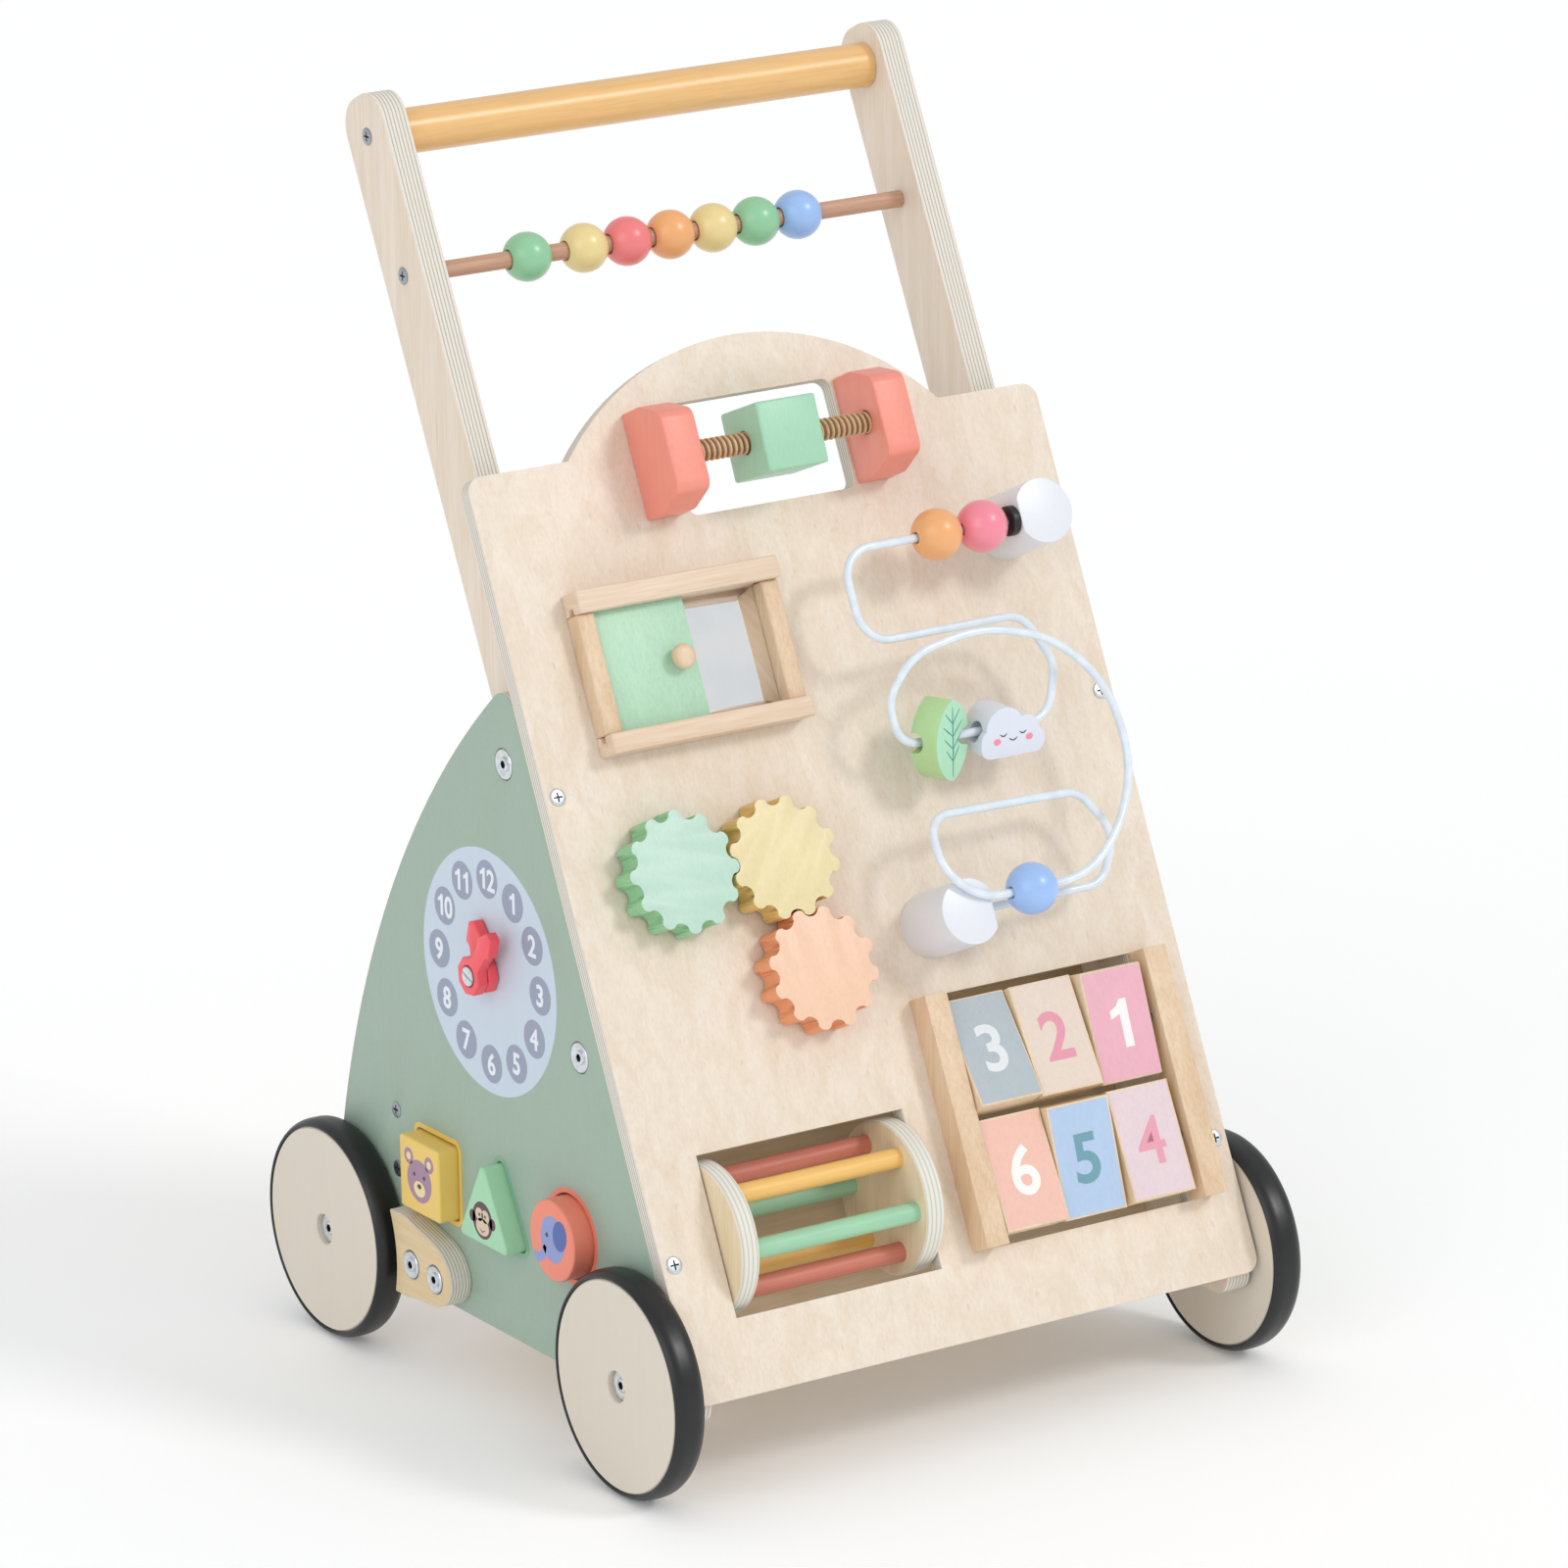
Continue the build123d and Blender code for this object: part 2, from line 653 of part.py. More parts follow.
# ---- sliding door over the mirror ----
door_low_v = door_rail_low + door_bottom_rail
door_high_v = door_rail_high - door_top_rail
door_mid_v = (door_low_v + door_high_v) / 2
door_mid_u = (door_left + door_right) / 2
frame_width = door_right - door_left
opening_height = door_high_v - door_low_v
groove_low = door_n - door_face_gap
groove_high = door_n + door_thick + door_face_gap
with BuildPart() as door_frame:
    with BuildSketch(panel):
        with Locations((door_mid_u, (door_rail_low + door_low_v) / 2)):
            Rectangle(frame_width, door_bottom_rail)
        with Locations((door_mid_u, (door_high_v + door_rail_high) / 2)):
            Rectangle(frame_width, door_top_rail)
    extrude(amount=door_frame_height)
    with BuildSketch(panel):
        with Locations((door_left + door_stile / 2, door_mid_v), (door_right - door_stile / 2, door_mid_v)):
            Rectangle(door_stile, opening_height)
    extrude(amount=door_stile_height)
    with BuildSketch(panel.offset(groove_low)):
        with Locations((door_mid_u, door_mid_v)):
            Rectangle(frame_width - 2 * door_stile, opening_height + 2 * groove_depth)
    extrude(amount=groove_high - groove_low, mode=Mode.SUBTRACT)
door_frame.part.label = "door_frame"
export_step(door_frame.part, "parts/door_frame.step")

with BuildPart() as mirror_plate:
    with BuildSketch(panel):
        with Locations((door_mid_u, door_mid_v)):
            Rectangle(frame_width - 2 * door_stile, opening_height)
    extrude(amount=mirror_thick)
mirror_plate.part.label = "mirror"
export_step(mirror_plate.part, "parts/mirror.step")

door_start = door_left + door_stile + door_side_gap
with BuildPart() as sliding_door:
    with BuildSketch(panel.offset(door_n)):
        with Locations((door_start + door_width / 2, door_mid_v)):
            Rectangle(door_width, opening_height + 2 * (groove_depth - door_side_gap))
    extrude(amount=door_thick)
sliding_door.part.label = "sliding_door"
export_step(sliding_door.part, "parts/sliding_door.step")

knob_at = (door_start + door_width - knob_offset, door_mid_v)
knob_foot = door_n + door_thick
with BuildPart() as door_knob:
    peg(panel, knob_at, knob_head_radius, knob_foot + knob_neck, knob_foot + knob_height)
    fillet(door_knob.edges().filter_by(GeomType.CIRCLE), knob_round)
    peg(panel, knob_at, knob_neck_radius, knob_foot, knob_foot + knob_height / 2)
door_knob.part.label = "door_knob"
export_step(door_knob.part, "parts/door_knob.step")

# ---- three meshed gears on blind pins ----
yellow_phase = gear_phase(gear_centres[1], gear_centres[0], green_gear_phase)
orange_phase = gear_phase(gear_centres[2], gear_centres[1], yellow_phase)
gear_phases = (green_gear_phase, yellow_phase, orange_phase)
for centre, phase, gear_name in zip(gear_centres, gear_phases, gear_names):
    with BuildPart() as gear:
        with BuildSketch(panel.offset(gear_lift)):
            with BuildLine():
                Spline(*gear_outline(centre, phase), periodic=True)
            make_face()
        extrude(amount=gear_thick)
        pin_hole = gear_pin_radius + running_gap
        peg(panel, centre, pin_hole, gear_lift, gear_lift + gear_pin_depth, Mode.SUBTRACT)
    gear.part.label = gear_name
    export_step(gear.part, f"parts/{gear_name}.step")

# ---- drum: two discs joined by six dowels, turning on stub pins ----
drum_low = drum_window_low[0] + drum_end_gap
drum_high = drum_window_high[0] - drum_end_gap
drum_centre = (drum_v, drum_n)
with BuildPart() as drum_discs:
    peg(section, drum_centre, drum_radius, drum_low, drum_low + drum_disc)
    peg(section, drum_centre, drum_radius, drum_high - drum_disc, drum_high)
    peg(section, drum_centre, stub_pin_radius + running_gap, drum_low, drum_high, Mode.SUBTRACT)
drum_discs.part.label = "drum_discs"
export_step(drum_discs.part, "parts/drum_discs.step")

with BuildPart() as drum_dowels:
    with BuildSketch(section.offset(drum_low + drum_disc)):
        with Locations(drum_centre):
            with PolarLocations(dowel_ring, dowel_count, start_angle=dowel_phase):
                Circle(dowel_radius)
    extrude(amount=drum_high - drum_low - 2 * drum_disc)
drum_dowels.part.label = "drum_dowels"
export_step(drum_dowels.part, "parts/drum_dowels.step")

bearing_spans = (
    (-side_inner, drum_low - bearing_gap),
    (drum_high + bearing_gap, drum_high + bearing_gap + bearing_right_width),
)
with BuildPart() as drum_bearings:
    for low, high in bearing_spans:
        with BuildSketch(section.offset(low)):
            with Locations(((bearing_v[0] + bearing_v[1]) / 2, (bearing_back_n - panel_thick) / 2)):
                Rectangle(bearing_v[1] - bearing_v[0], -bearing_back_n - panel_thick)
        extrude(amount=high - low)
    pin_hole = stub_pin_radius + drill_gap
    peg(section, drum_centre, pin_hole, bearing_spans[0][0], bearing_spans[1][1], Mode.SUBTRACT)
drum_bearings.part.label = "drum_bearings"
export_step(drum_bearings.part, "parts/drum_bearings.step")

# ---- number blocks on two rods between two strips ----
strip_left = (block_window_low[0] - strip_widths[0], block_window_low[0])
strip_right = (block_window_high[0], block_window_high[0] + strip_widths[1])
strip_height_v = block_window_high[1] - block_window_low[1]
strip_mid_v = (block_window_high[1] + block_window_low[1]) / 2
rod_span = (strip_left[1] - strip_rod_seat, strip_right[0] + strip_rod_seat)
with BuildPart() as block_strips:
    with BuildSketch(panel):
        for low, high in (strip_left, strip_right):
            with Locations(((low + high) / 2, strip_mid_v)):
                Rectangle(high - low, strip_height_v)
    extrude(amount=strip_height)
    for row in block_rows:
        peg(section, (row, block_n), block_rod_radius + drill_gap, *rod_span, Mode.SUBTRACT)
block_strips.part.label = "block_strips"
export_step(block_strips.part, "parts/block_strips.step")

for row, tilts, numbers in zip(block_rows, block_tilts, block_numbers):
    for column, tilt, number in zip(block_columns, tilts, numbers):
        centre = panel_foot + up_slope * row + out_of_panel * block_n + Vector(column, 0, 0)
        turn = math.radians(tilt)
        face = out_of_panel * math.cos(turn) + up_slope * math.sin(turn)
        with BuildPart(Plane(origin=centre, x_dir=(1, 0, 0), z_dir=face)) as number_block:
            Box(block_width, block_height, block_thick)
        with BuildPart() as drilled_block:
            add(number_block.part)
            bore = (column - block_width, column + block_width)
            peg(section, (row, block_n), block_rod_radius + running_gap, *bore, Mode.SUBTRACT)
        drilled_block.part.label = f"number_block_{number}"
        export_step(drilled_block.part, f"parts/number_block_{number}.step")

# ---- steel pins: gear pins, drum stub pins, block rods and the clock's centre screw ----
hands_stack = side_outer + 3 * hand_gap + 2 * hand_thick
with BuildPart() as steel_pins:
    for centre in gear_centres:
        peg(panel, centre, gear_pin_radius, -panel_thick, gear_lift + gear_pin_depth - gear_lift / 2)
    peg(section, drum_centre, stub_pin_radius, bearing_spans[0][0], drum_low + drum_disc)
    peg(section, drum_centre, stub_pin_radius, drum_high - drum_disc, bearing_spans[1][1])
    for row in block_rows:
        peg(section, (row, block_n), block_rod_radius, *rod_span)
    clock_centre = (clock_y, clock_z)
    peg(Plane.YZ, clock_centre, clock_pin_radius, -hands_stack + clock_screw_height, -side_inner)
    peg(Plane.YZ, clock_centre, clock_screw_radius, -hands_stack, -hands_stack + clock_screw_height)
steel_pins.part.label = "steel_pins"
export_step(steel_pins.part, "parts/steel_pins.step")

# ---- bead maze: posts, bent wire, washer, beads and two charms ----
upper_flat_u = maze_post_upper[0] - maze_flat_upper
lower_flat_u = maze_post_lower[0] + maze_flat_lower
wire_height = 26.0
wire_head_drop = 1.0
wire_foot_v = 161.2
wire_foot_n = 18.0
leaf_run_n = (18.2, 22.6)
leaf_run_v = 229.2
blue_u, blue_v, blue_n = blue_bead_place
wire_route = (
    (upper_flat_u + wire_seat, maze_post_upper[1] - wire_head_drop, wire_height),
    (7.5, maze_post_upper[1] - wire_head_drop, wire_height),
    (7.5, 270.4, wire_height),
    (82.0, 270.6, 25.0),
    (94.5, 250.0, 21.0),
    (87.0, leaf_run_v, leaf_run_n[0]),
    (14.0, leaf_run_v, leaf_run_n[1]),
    (10.5, 247.0, 28.5),
    (24.0, 262.0, 31.5),
    (58.0, 268.0, 32.8),
    (90.0, 258.0, 32.8),
    (108.5, 236.0, 32.3),
    (111.0, 205.0, 32.0),
    (98.0, 180.0, 32.0),
    (76.0, blue_v, blue_n),
    (27.0, blue_v, blue_n),
    (11.5, 177.0, 35.4),
    (15.0, 199.5, 27.5),
    (45.0, 199.3, 24.4),
    (90.0, 198.5, 21.0),
    (103.0, 180.0, 19.2),
    (93.0, wire_foot_v, wire_foot_n),
    (lower_flat_u - wire_seat, wire_foot_v, wire_foot_n),
)
with BuildPart() as maze_posts:
    for place, flat, toward in (
        (maze_post_upper, maze_flat_upper, -1),
        (maze_post_lower, maze_flat_lower, 1),
    ):
        with BuildSketch(panel):
            with Locations(place):
                Circle(maze_post_radius)
            with Locations((place[0] + toward * (flat + maze_post_radius), place[1])):
                Rectangle(2 * maze_post_radius, 2 * maze_post_radius, mode=Mode.SUBTRACT)
        extrude(amount=maze_post_height)
    hole = wire_radius + wire_fit
    upper_end = (upper_flat_u, upper_flat_u + wire_seat)
    lower_end = (lower_flat_u - wire_seat, lower_flat_u)
    peg(section, (wire_route[0][1], wire_height), hole, *upper_end, Mode.SUBTRACT)
    peg(section, (wire_foot_v, wire_foot_n), hole, *lower_end, Mode.SUBTRACT)
maze_posts.part.label = "maze_posts"
export_step(maze_posts.part, "parts/maze_posts.step")


def on_panel(u, v, n):
    """The point at u across, v up the slope and n out of the panel's face."""
    return panel_foot + Vector(u, 0, 0) + up_slope * v + out_of_panel * n


def bend_radius(before, corner, after):
    """As wide a bend as the two runs beside it allow, tighter at a sharp corner."""
    turned = (corner - before).get_angle(after - corner)
    run = min((corner - before).length, (after - corner).length)
    widest = wire_bend_share * run / math.tan(math.radians(turned) / 2)
    return min(widest, wire_corner) if turned > wire_corner_turn else widest


wire_points = [on_panel(*point) for point in wire_route]
wire_bends = [bend_radius(*trio) for trio in zip(wire_points, wire_points[1:], wire_points[2:])]
with BuildPart() as maze_wire:
    with BuildLine() as wire_path:
        FilletPolyline(*wire_points, radius=wire_bends)
    with BuildSketch(Plane(origin=wire_path.line @ 0, z_dir=wire_path.line % 0)):
        Circle(wire_radius)
    sweep(path=wire_path.line)
maze_wire.part.label = "maze_wire"
export_step(maze_wire.part, "parts/maze_wire.step")

with BuildPart() as maze_washer:
    washer_at = (wire_route[0][1], wire_height)
    peg(section, washer_at, washer_radius, upper_flat_u - washer_width, upper_flat_u)
    peg(section, washer_at, hole, upper_flat_u - washer_width, upper_flat_u, Mode.SUBTRACT)
maze_washer.part.label = "maze_washer"
export_step(maze_washer.part, "parts/maze_washer.step")

maze_beads = (
    ("pink", (pink_bead_u, wire_route[0][1], wire_height)),
    ("orange", (orange_bead_u, wire_route[0][1], wire_height)),
    ("blue", blue_bead_place),
)
for colour, place in maze_beads:
    bead_plane = Plane(origin=on_panel(*place), x_dir=up_slope, z_dir=(1, 0, 0))
    maze_bead = bead(bead_plane, maze_bead_radius, wire_radius + maze_bead_gap)
    maze_bead.part.label = f"maze_bead_{colour}"
    export_step(maze_bead.part, f"parts/maze_bead_{colour}.step")

charm_start = on_panel(*wire_route[5])
charm_end = on_panel(*wire_route[6])
charm_line = (charm_end - charm_start).normalized()
charm_hole_reach = 40.0


def charm_place(u):
    """The point of the wire's straight lower run at a place across the panel."""
    share = (u - wire_route[5][0]) / (wire_route[6][0] - wire_route[5][0])
    return charm_start + (charm_end - charm_start) * share


turn = math.radians(leaf_turn)
leaf_plane = Plane(
    origin=charm_place(leaf_u),
    x_dir=(math.cos(turn), math.sin(turn), 0),
    z_dir=(math.sin(turn), -math.cos(turn), 0),
)
tip = leaf_height / 2
with BuildPart() as maze_leaf:
    with BuildSketch(leaf_plane.offset(-leaf_thick / 2)):
        with BuildLine():
            ThreePointArc((0, -tip), (leaf_width / 2, leaf_belly), (0, tip))
            ThreePointArc((0, tip), (-leaf_width / 2, leaf_belly), (0, -tip))
        make_face()
    extrude(amount=leaf_thick)
    with BuildSketch(Plane(origin=charm_place(leaf_u) - charm_line * charm_hole_reach, z_dir=charm_line)):
        Circle(charm_hole_radius)
    extrude(amount=2 * charm_hole_reach, mode=Mode.SUBTRACT)
maze_leaf.part.label = "maze_leaf"
export_step(maze_leaf.part, "parts/maze_leaf.step")

cloud_plane = Plane(origin=charm_place(cloud_u), x_dir=(1, 0, 0), z_dir=(0, -1, 0))
cloud_base = cloud_height / 4
with BuildPart() as maze_cloud:
    with BuildSketch(cloud_plane.offset(-cloud_thick / 2)) as puffs:
        with Locations((0, -cloud_base)):
            RectangleRounded(cloud_width, 2 * cloud_base, cloud_base - 0.1)
        for across, rise, radius in cloud_puffs:
            with Locations((across, rise)):
                Circle(radius)
    extrude(amount=cloud_thick)
    with BuildSketch(Plane(origin=charm_place(cloud_u) - charm_line * charm_hole_reach, z_dir=charm_line)):
        Circle(charm_hole_radius)
    extrude(amount=2 * charm_hole_reach, mode=Mode.SUBTRACT)
maze_cloud.part.label = "maze_cloud"
export_step(maze_cloud.part, "parts/maze_cloud.step")

# ---- clock hands, one behind the other on the centre screw ----
hand_layers = (
    ("hour_hand", hour_reach, hour_neck, hour_barb, hour_turn, 1),
    ("minute_hand", minute_reach, minute_neck, minute_barb, minute_turn, 2),
)
for hand_name, reach, neck, barb, turn_degrees, layer in hand_layers:
    hand_outer = side_outer + layer * (hand_gap + hand_thick)
    turn = math.radians(turn_degrees)
    hand_side = (0, math.cos(turn), math.sin(turn))
    hand_plane = Plane(origin=(-hand_outer, clock_y, clock_z), x_dir=hand_side, z_dir=(1, 0, 0))
    with BuildPart() as hand:
        with BuildSketch(hand_plane):
            RegularPolygon(hand_hub, hub_sides, rotation=180 / hub_sides)
            with BuildLine():
                Polyline(
                    (-neck, 0),
                    (-neck, reach - hand_shoulder_drop),
                    (-barb, reach - hand_barb_drop),
                    (-hand_tip, reach),
                    (hand_tip, reach),
                    (barb, reach - hand_barb_drop),
                    (neck, reach - hand_shoulder_drop),
                    (neck, 0),
                    close=True,
                )
            make_face()
            Circle(clock_pin_radius + running_gap, mode=Mode.SUBTRACT)
        extrude(amount=hand_thick)
        if layer == len(hand_layers):
            sunk = clock_screw_height + clock_screw_gap
            peg(hand_plane, (0, 0), clock_screw_radius + clock_screw_gap, 0, sunk, Mode.SUBTRACT)
    hand.part.label = hand_name
    export_step(hand.part, f"parts/{hand_name}.step")

# ---- shape sorter blocks standing in their holes ----
for kind in shape_kinds:
    with BuildPart() as shape_block:
        with BuildSketch(Plane.YZ.offset(-side_outer - shape_proud), mode=Mode.PRIVATE) as shape_end:
            shape_outline(kind, 0)
        extrude(shape_end.sketch, amount=shape_proud + side_thick - shape_inset)
    shape_block.part.label = f"shape_{kind}"
    export_step(shape_block.part, f"parts/shape_{kind}.step")
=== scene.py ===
import json
import math

import bmesh
import bpy
from mathutils import Matrix, Vector


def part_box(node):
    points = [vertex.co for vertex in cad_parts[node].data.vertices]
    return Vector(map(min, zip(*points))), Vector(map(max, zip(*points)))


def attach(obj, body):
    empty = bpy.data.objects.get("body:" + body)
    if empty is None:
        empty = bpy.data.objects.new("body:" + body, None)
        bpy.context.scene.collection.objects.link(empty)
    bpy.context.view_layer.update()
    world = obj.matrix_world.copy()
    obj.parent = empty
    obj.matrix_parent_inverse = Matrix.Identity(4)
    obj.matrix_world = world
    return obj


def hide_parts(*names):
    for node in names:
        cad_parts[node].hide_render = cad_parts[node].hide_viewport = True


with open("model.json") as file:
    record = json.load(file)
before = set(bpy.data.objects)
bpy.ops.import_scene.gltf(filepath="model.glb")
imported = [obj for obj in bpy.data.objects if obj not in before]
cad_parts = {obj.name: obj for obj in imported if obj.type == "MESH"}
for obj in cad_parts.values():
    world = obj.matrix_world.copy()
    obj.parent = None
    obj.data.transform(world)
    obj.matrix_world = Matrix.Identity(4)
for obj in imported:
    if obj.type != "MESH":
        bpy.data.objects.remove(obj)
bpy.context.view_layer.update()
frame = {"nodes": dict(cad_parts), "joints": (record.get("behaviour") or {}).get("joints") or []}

MM = 0.001
NODES = frame["nodes"]
JOINTS = {joint["name"]: joint for joint in frame["joints"]}

# ---------------------------------------------------------------- places taken from the frame
PANEL_THICK = 7.0
OUT = Vector(JOINTS["gear_green_spin"]["axis"]).normalized()
ACROSS = Vector((1, 0, 0))
UP_SLOPE = OUT.cross(ACROSS)
LEAN = math.atan2(UP_SLOPE.y, UP_SLOPE.z)
POST_EXTRA_LEAN = 1.0
POST_LEAN = LEAN + math.radians(POST_EXTRA_LEAN)
panel_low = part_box("front_panel")[0]
PANEL_FOOT = Vector((0, panel_low.y, panel_low.z + PANEL_THICK * MM * OUT.z))
right_low, right_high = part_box("side_panel_right")
SIDE_INNER, SIDE_OUTER = right_low.x / MM, right_high.x / MM
POST_INNER = -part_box("handle_bar")[0].x / MM


def axes(origin, across, up, out):
    """The matrix of a small frame whose x, y and z run across, up and out."""
    turn = Matrix((across, up, out)).transposed().to_4x4()
    return Matrix.Translation(origin) @ turn


def on_panel(u, v, n):
    """The point at u across, v up the slope and n out of the panel's face, in millimetres."""
    return PANEL_FOOT + (ACROSS * u + UP_SLOPE * v + OUT * n) * MM


def panel_frame(u=0.0, v=0.0, n=0.0):
    return axes(on_panel(u, v, n), ACROSS, UP_SLOPE, OUT)


def left_frame(x, y, z):
    """A frame for what is printed on the left side, read from outside."""
    return axes(Vector((x, y, z)) * MM, Vector((0, -1, 0)), Vector((0, 0, 1)), Vector((-1, 0, 0)))


def along(origin, direction):
    """A frame whose z runs along a direction."""
    return Matrix.Translation(origin) @ direction.to_track_quat("Z", "Y").to_matrix().to_4x4()


def middle(node):
    low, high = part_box(node)
    return (low + high) / 2


def joint_place(name):
    return Vector(JOINTS[name]["pos_m"])


def panel_uvn(point):
    """Millimetres across, up the slope and out of the panel for a point in the frame."""
    away = (point - PANEL_FOOT) / MM
    return away.dot(ACROSS), away.dot(UP_SLOPE), away.dot(OUT)


# ---------------------------------------------------------------- finishes
def paint(code):
    """A display colour such as #e6d5bb as a linear colour."""
    parts = [int(code[i : i + 2], 16) / 255 for i in (1, 3, 5)]
    return (*[c / 12.92 if c <= 0.04045 else ((c + 0.055) / 1.055) ** 2.4 for c in parts], 1.0)


class Amount:
    """A number that varies over a surface, worked with Python's own signs."""

    def __init__(self, finish, socket):
        self.finish = finish
        self.socket = socket

    def maths(self, operation, *values):
        inputs = dict(enumerate(values))
        return self.finish.node("ShaderNodeMath", {"operation": operation}, inputs)

    def __add__(self, other):
        return self.maths("ADD", self, other)

    def __sub__(self, other):
        return self.maths("SUBTRACT", self, other)

    def __rsub__(self, other):
        return self.maths("SUBTRACT", other, self)

    def __mul__(self, other):
        return self.maths("MULTIPLY", self, other)

    def __truediv__(self, other):
        return self.maths("DIVIDE", self, other)

    __radd__ = __add__
    __rmul__ = __mul__

    def above(self, limit):
        return self.maths("GREATER_THAN", self, limit)

    def below(self, limit):
        return self.maths("LESS_THAN", self, limit)

    def size(self):
        return self.maths("ABSOLUTE", self)

    def wave(self):
        return self.maths("SINE", self)

    def root(self):
        return self.maths("SQRT", self)

    def soft(self, low, high):
        """0 below low, 1 above high, and smooth between them."""
        inputs = {"Value": self, "From Min": low, "From Max": high}
        settings = {"interpolation_type": "SMOOTHSTEP"}
        return self.finish.node("ShaderNodeMapRange", settings, inputs)


class Finish:
    """One surface material: a Principled shader with the nodes that feed it."""

    def __init__(self, name, **constants):
        self.material = bpy.data.materials.new(name.replace(" ", "_"))
        self.material.use_nodes = True
        self.tree = self.material.node_tree
        self.shader = self.tree.nodes["Principled BSDF"]
        for socket, value in constants.items():
            self.shader.inputs[socket.replace("_", " ")].default_value = value
        self.place = self.node("ShaderNodeTexCoord", {}, {}, "Object")

    def node(self, kind, settings, inputs, output=0):
        made = self.tree.nodes.new(kind)
        for name, value in settings.items():
            setattr(made, name, value)
        for name, value in inputs.items():
            if isinstance(value, Amount):
                self.tree.links.new(value.socket, made.inputs[name])
            else:
                made.inputs[name].default_value = value
        return Amount(self, made.outputs[output])

    def turned(self, rotation=(0, 0, 0), scale=(1, 1, 1), shift=(0, 0, 0)):
        inputs = {"Vector": self.place, "Rotation": rotation, "Scale": scale, "Location": shift}
        return self.node("ShaderNodeMapping", {}, inputs)

    def noise(self, vector, scale, detail=3.0, rough=0.5, warp=0.0):
        inputs = {"Vector": vector, "Scale": scale, "Detail": detail, "Roughness": rough, "Distortion": warp}
        return self.node("ShaderNodeTexNoise", {}, inputs)

    def split(self, vector):
        return [self.node("ShaderNodeSeparateXYZ", {}, {0: vector}, axis) for axis in range(3)]

    def blend(self, share, first, second):
        settings = {"data_type": "RGBA"}
        return self.node("ShaderNodeMix", settings, {0: share, 6: first, 7: second}, 2)

    def feed(self, socket, value):
        self.tree.links.new(value.socket, self.shader.inputs[socket])

    def bump(self, height, distance, strength=1.0):
        inputs = {"Height": height, "Distance": distance, "Strength": strength}
        self.feed("Normal", self.node("ShaderNodeBump", {}, inputs))


GRAIN = {
    "z": ((0, 0, 0), (1, 1, 0.05)),
    "slope": ((LEAN, 0, 0), (1, 1, 0.05)),
    "post": ((POST_LEAN, 0, 0), (1, 1, 0.05)),
    "x": ((0, 0, 0), (0.05, 1, 1)),
    "y": ((0, 0, 0), (1, 0.05, 1)),
}
BIRCH_PALE, BIRCH_DEEP = "#ebdfd0", "#dfcdb7"
FACE_VENEER = 0.28
PAINT_DEPTH = 0.55


def grain(finish, way):
    """Fine streaks and broad figure of wood whose grain runs one way: (streaks, figure), about 0 to 1."""
    vector = finish.turned(*GRAIN[way])
    streaks = finish.noise(vector, 900.0, 4.0, 0.6, 0.4)
    figure = finish.noise(vector, 90.0, 3.0, 0.55, 1.2)
    return streaks, figure


def veneer_colour(finish, way, pale, deep, flecks=True):
    streaks, figure = grain(finish, way)
    tone = streaks.soft(0.35, 0.7) * 0.45 + figure.soft(0.3, 0.72) * 0.55
    colour = finish.blend(tone, paint(pale), paint(deep))
    if flecks:
        spots = finish.noise(finish.turned(*GRAIN[way]), 420.0, 1.0)
        colour = finish.blend(spots.soft(0.7, 0.8) * 0.35, colour, paint("#cdb695"))
    return colour, streaks


def veneer(name, way, pale=BIRCH_PALE, deep=BIRCH_DEEP):
    """Plain lacquered veneer or sanded wood."""
    finish = Finish(name, Coat_Weight=0.08, Coat_Roughness=0.35)
    colour, streaks = veneer_colour(finish, way, pale, deep)
    finish.feed("Base Color", colour)
    finish.feed("Roughness", streaks * 0.14 + 0.42)
    finish.bump(streaks, 0.00006, 0.5)
    return finish.material


def ply(name, way, thickness, depth, plies, outer=None, pale=BIRCH_PALE, deep=BIRCH_DEEP):
    """Plywood with veneer on its faces and glued layers on its edges.

    depth gives the place in the thickness; outer is the paint and its stain on the outer face.
    """
    finish = Finish(name, Coat_Weight=0.06, Coat_Roughness=0.35)
    colour, streaks = veneer_colour(finish, way, pale, deep)
    level = depth(finish)
    layer = thickness / plies
    vein = finish.noise(finish.turned(scale=(1, 1, 1)), 60.0, 2.0)
    stripes = ((level / layer + vein * 0.12) * math.pi).wave().size().soft(0.3, 0.7)
    end_grain = finish.noise(finish.turned(), 1600.0, 3.0)
    edge = finish.blend(stripes, paint("#b5aea1"), paint("#e7e3da"))
    edge = finish.blend(end_grain.soft(0.35, 0.75) * 0.35, edge, paint("#cfc2ae"))
    on_edge = (level - thickness / 2).size().below(thickness / 2 - FACE_VENEER)
    if outer is not None:
        code, stain = outer
        weave = finish.noise(finish.turned(), 700.0, 2.0)
        coat = finish.blend(weave.soft(0.3, 0.75) * 0.5, paint(code), paint(stain))
        coat = finish.blend(streaks.soft(0.45, 0.75) * 0.12, coat, paint("#8fa596"))
        colour = finish.blend(level.above(thickness - PAINT_DEPTH), colour, coat)
    colour = finish.blend(on_edge, colour, edge)
    finish.feed("Base Color", colour)
    finish.feed("Roughness", on_edge * 0.18 + streaks * 0.12 + 0.42)
    finish.bump(streaks * (1 - on_edge * 0.5) + stripes * on_edge * 1.5, 0.00007, 0.5)
    return finish.material


def panel_height(finish):
    """Millimetres out of the activity panel's face."""
    height = finish.split(finish.turned((LEAN, 0, 0)))[1]
    face = PANEL_FOOT.y * math.cos(LEAN) - PANEL_FOOT.z * math.sin(LEAN)
    return (face - height) / MM


def panel_depth(finish):
    """Millimetres out from the activity panel's back face."""
    return panel_height(finish) + PANEL_THICK


def side_depth(inner):
    """Millimetres out from an upright board's inner face, the same on both sides."""
    return lambda finish: finish.split(finish.place)[0].size() / MM - inner


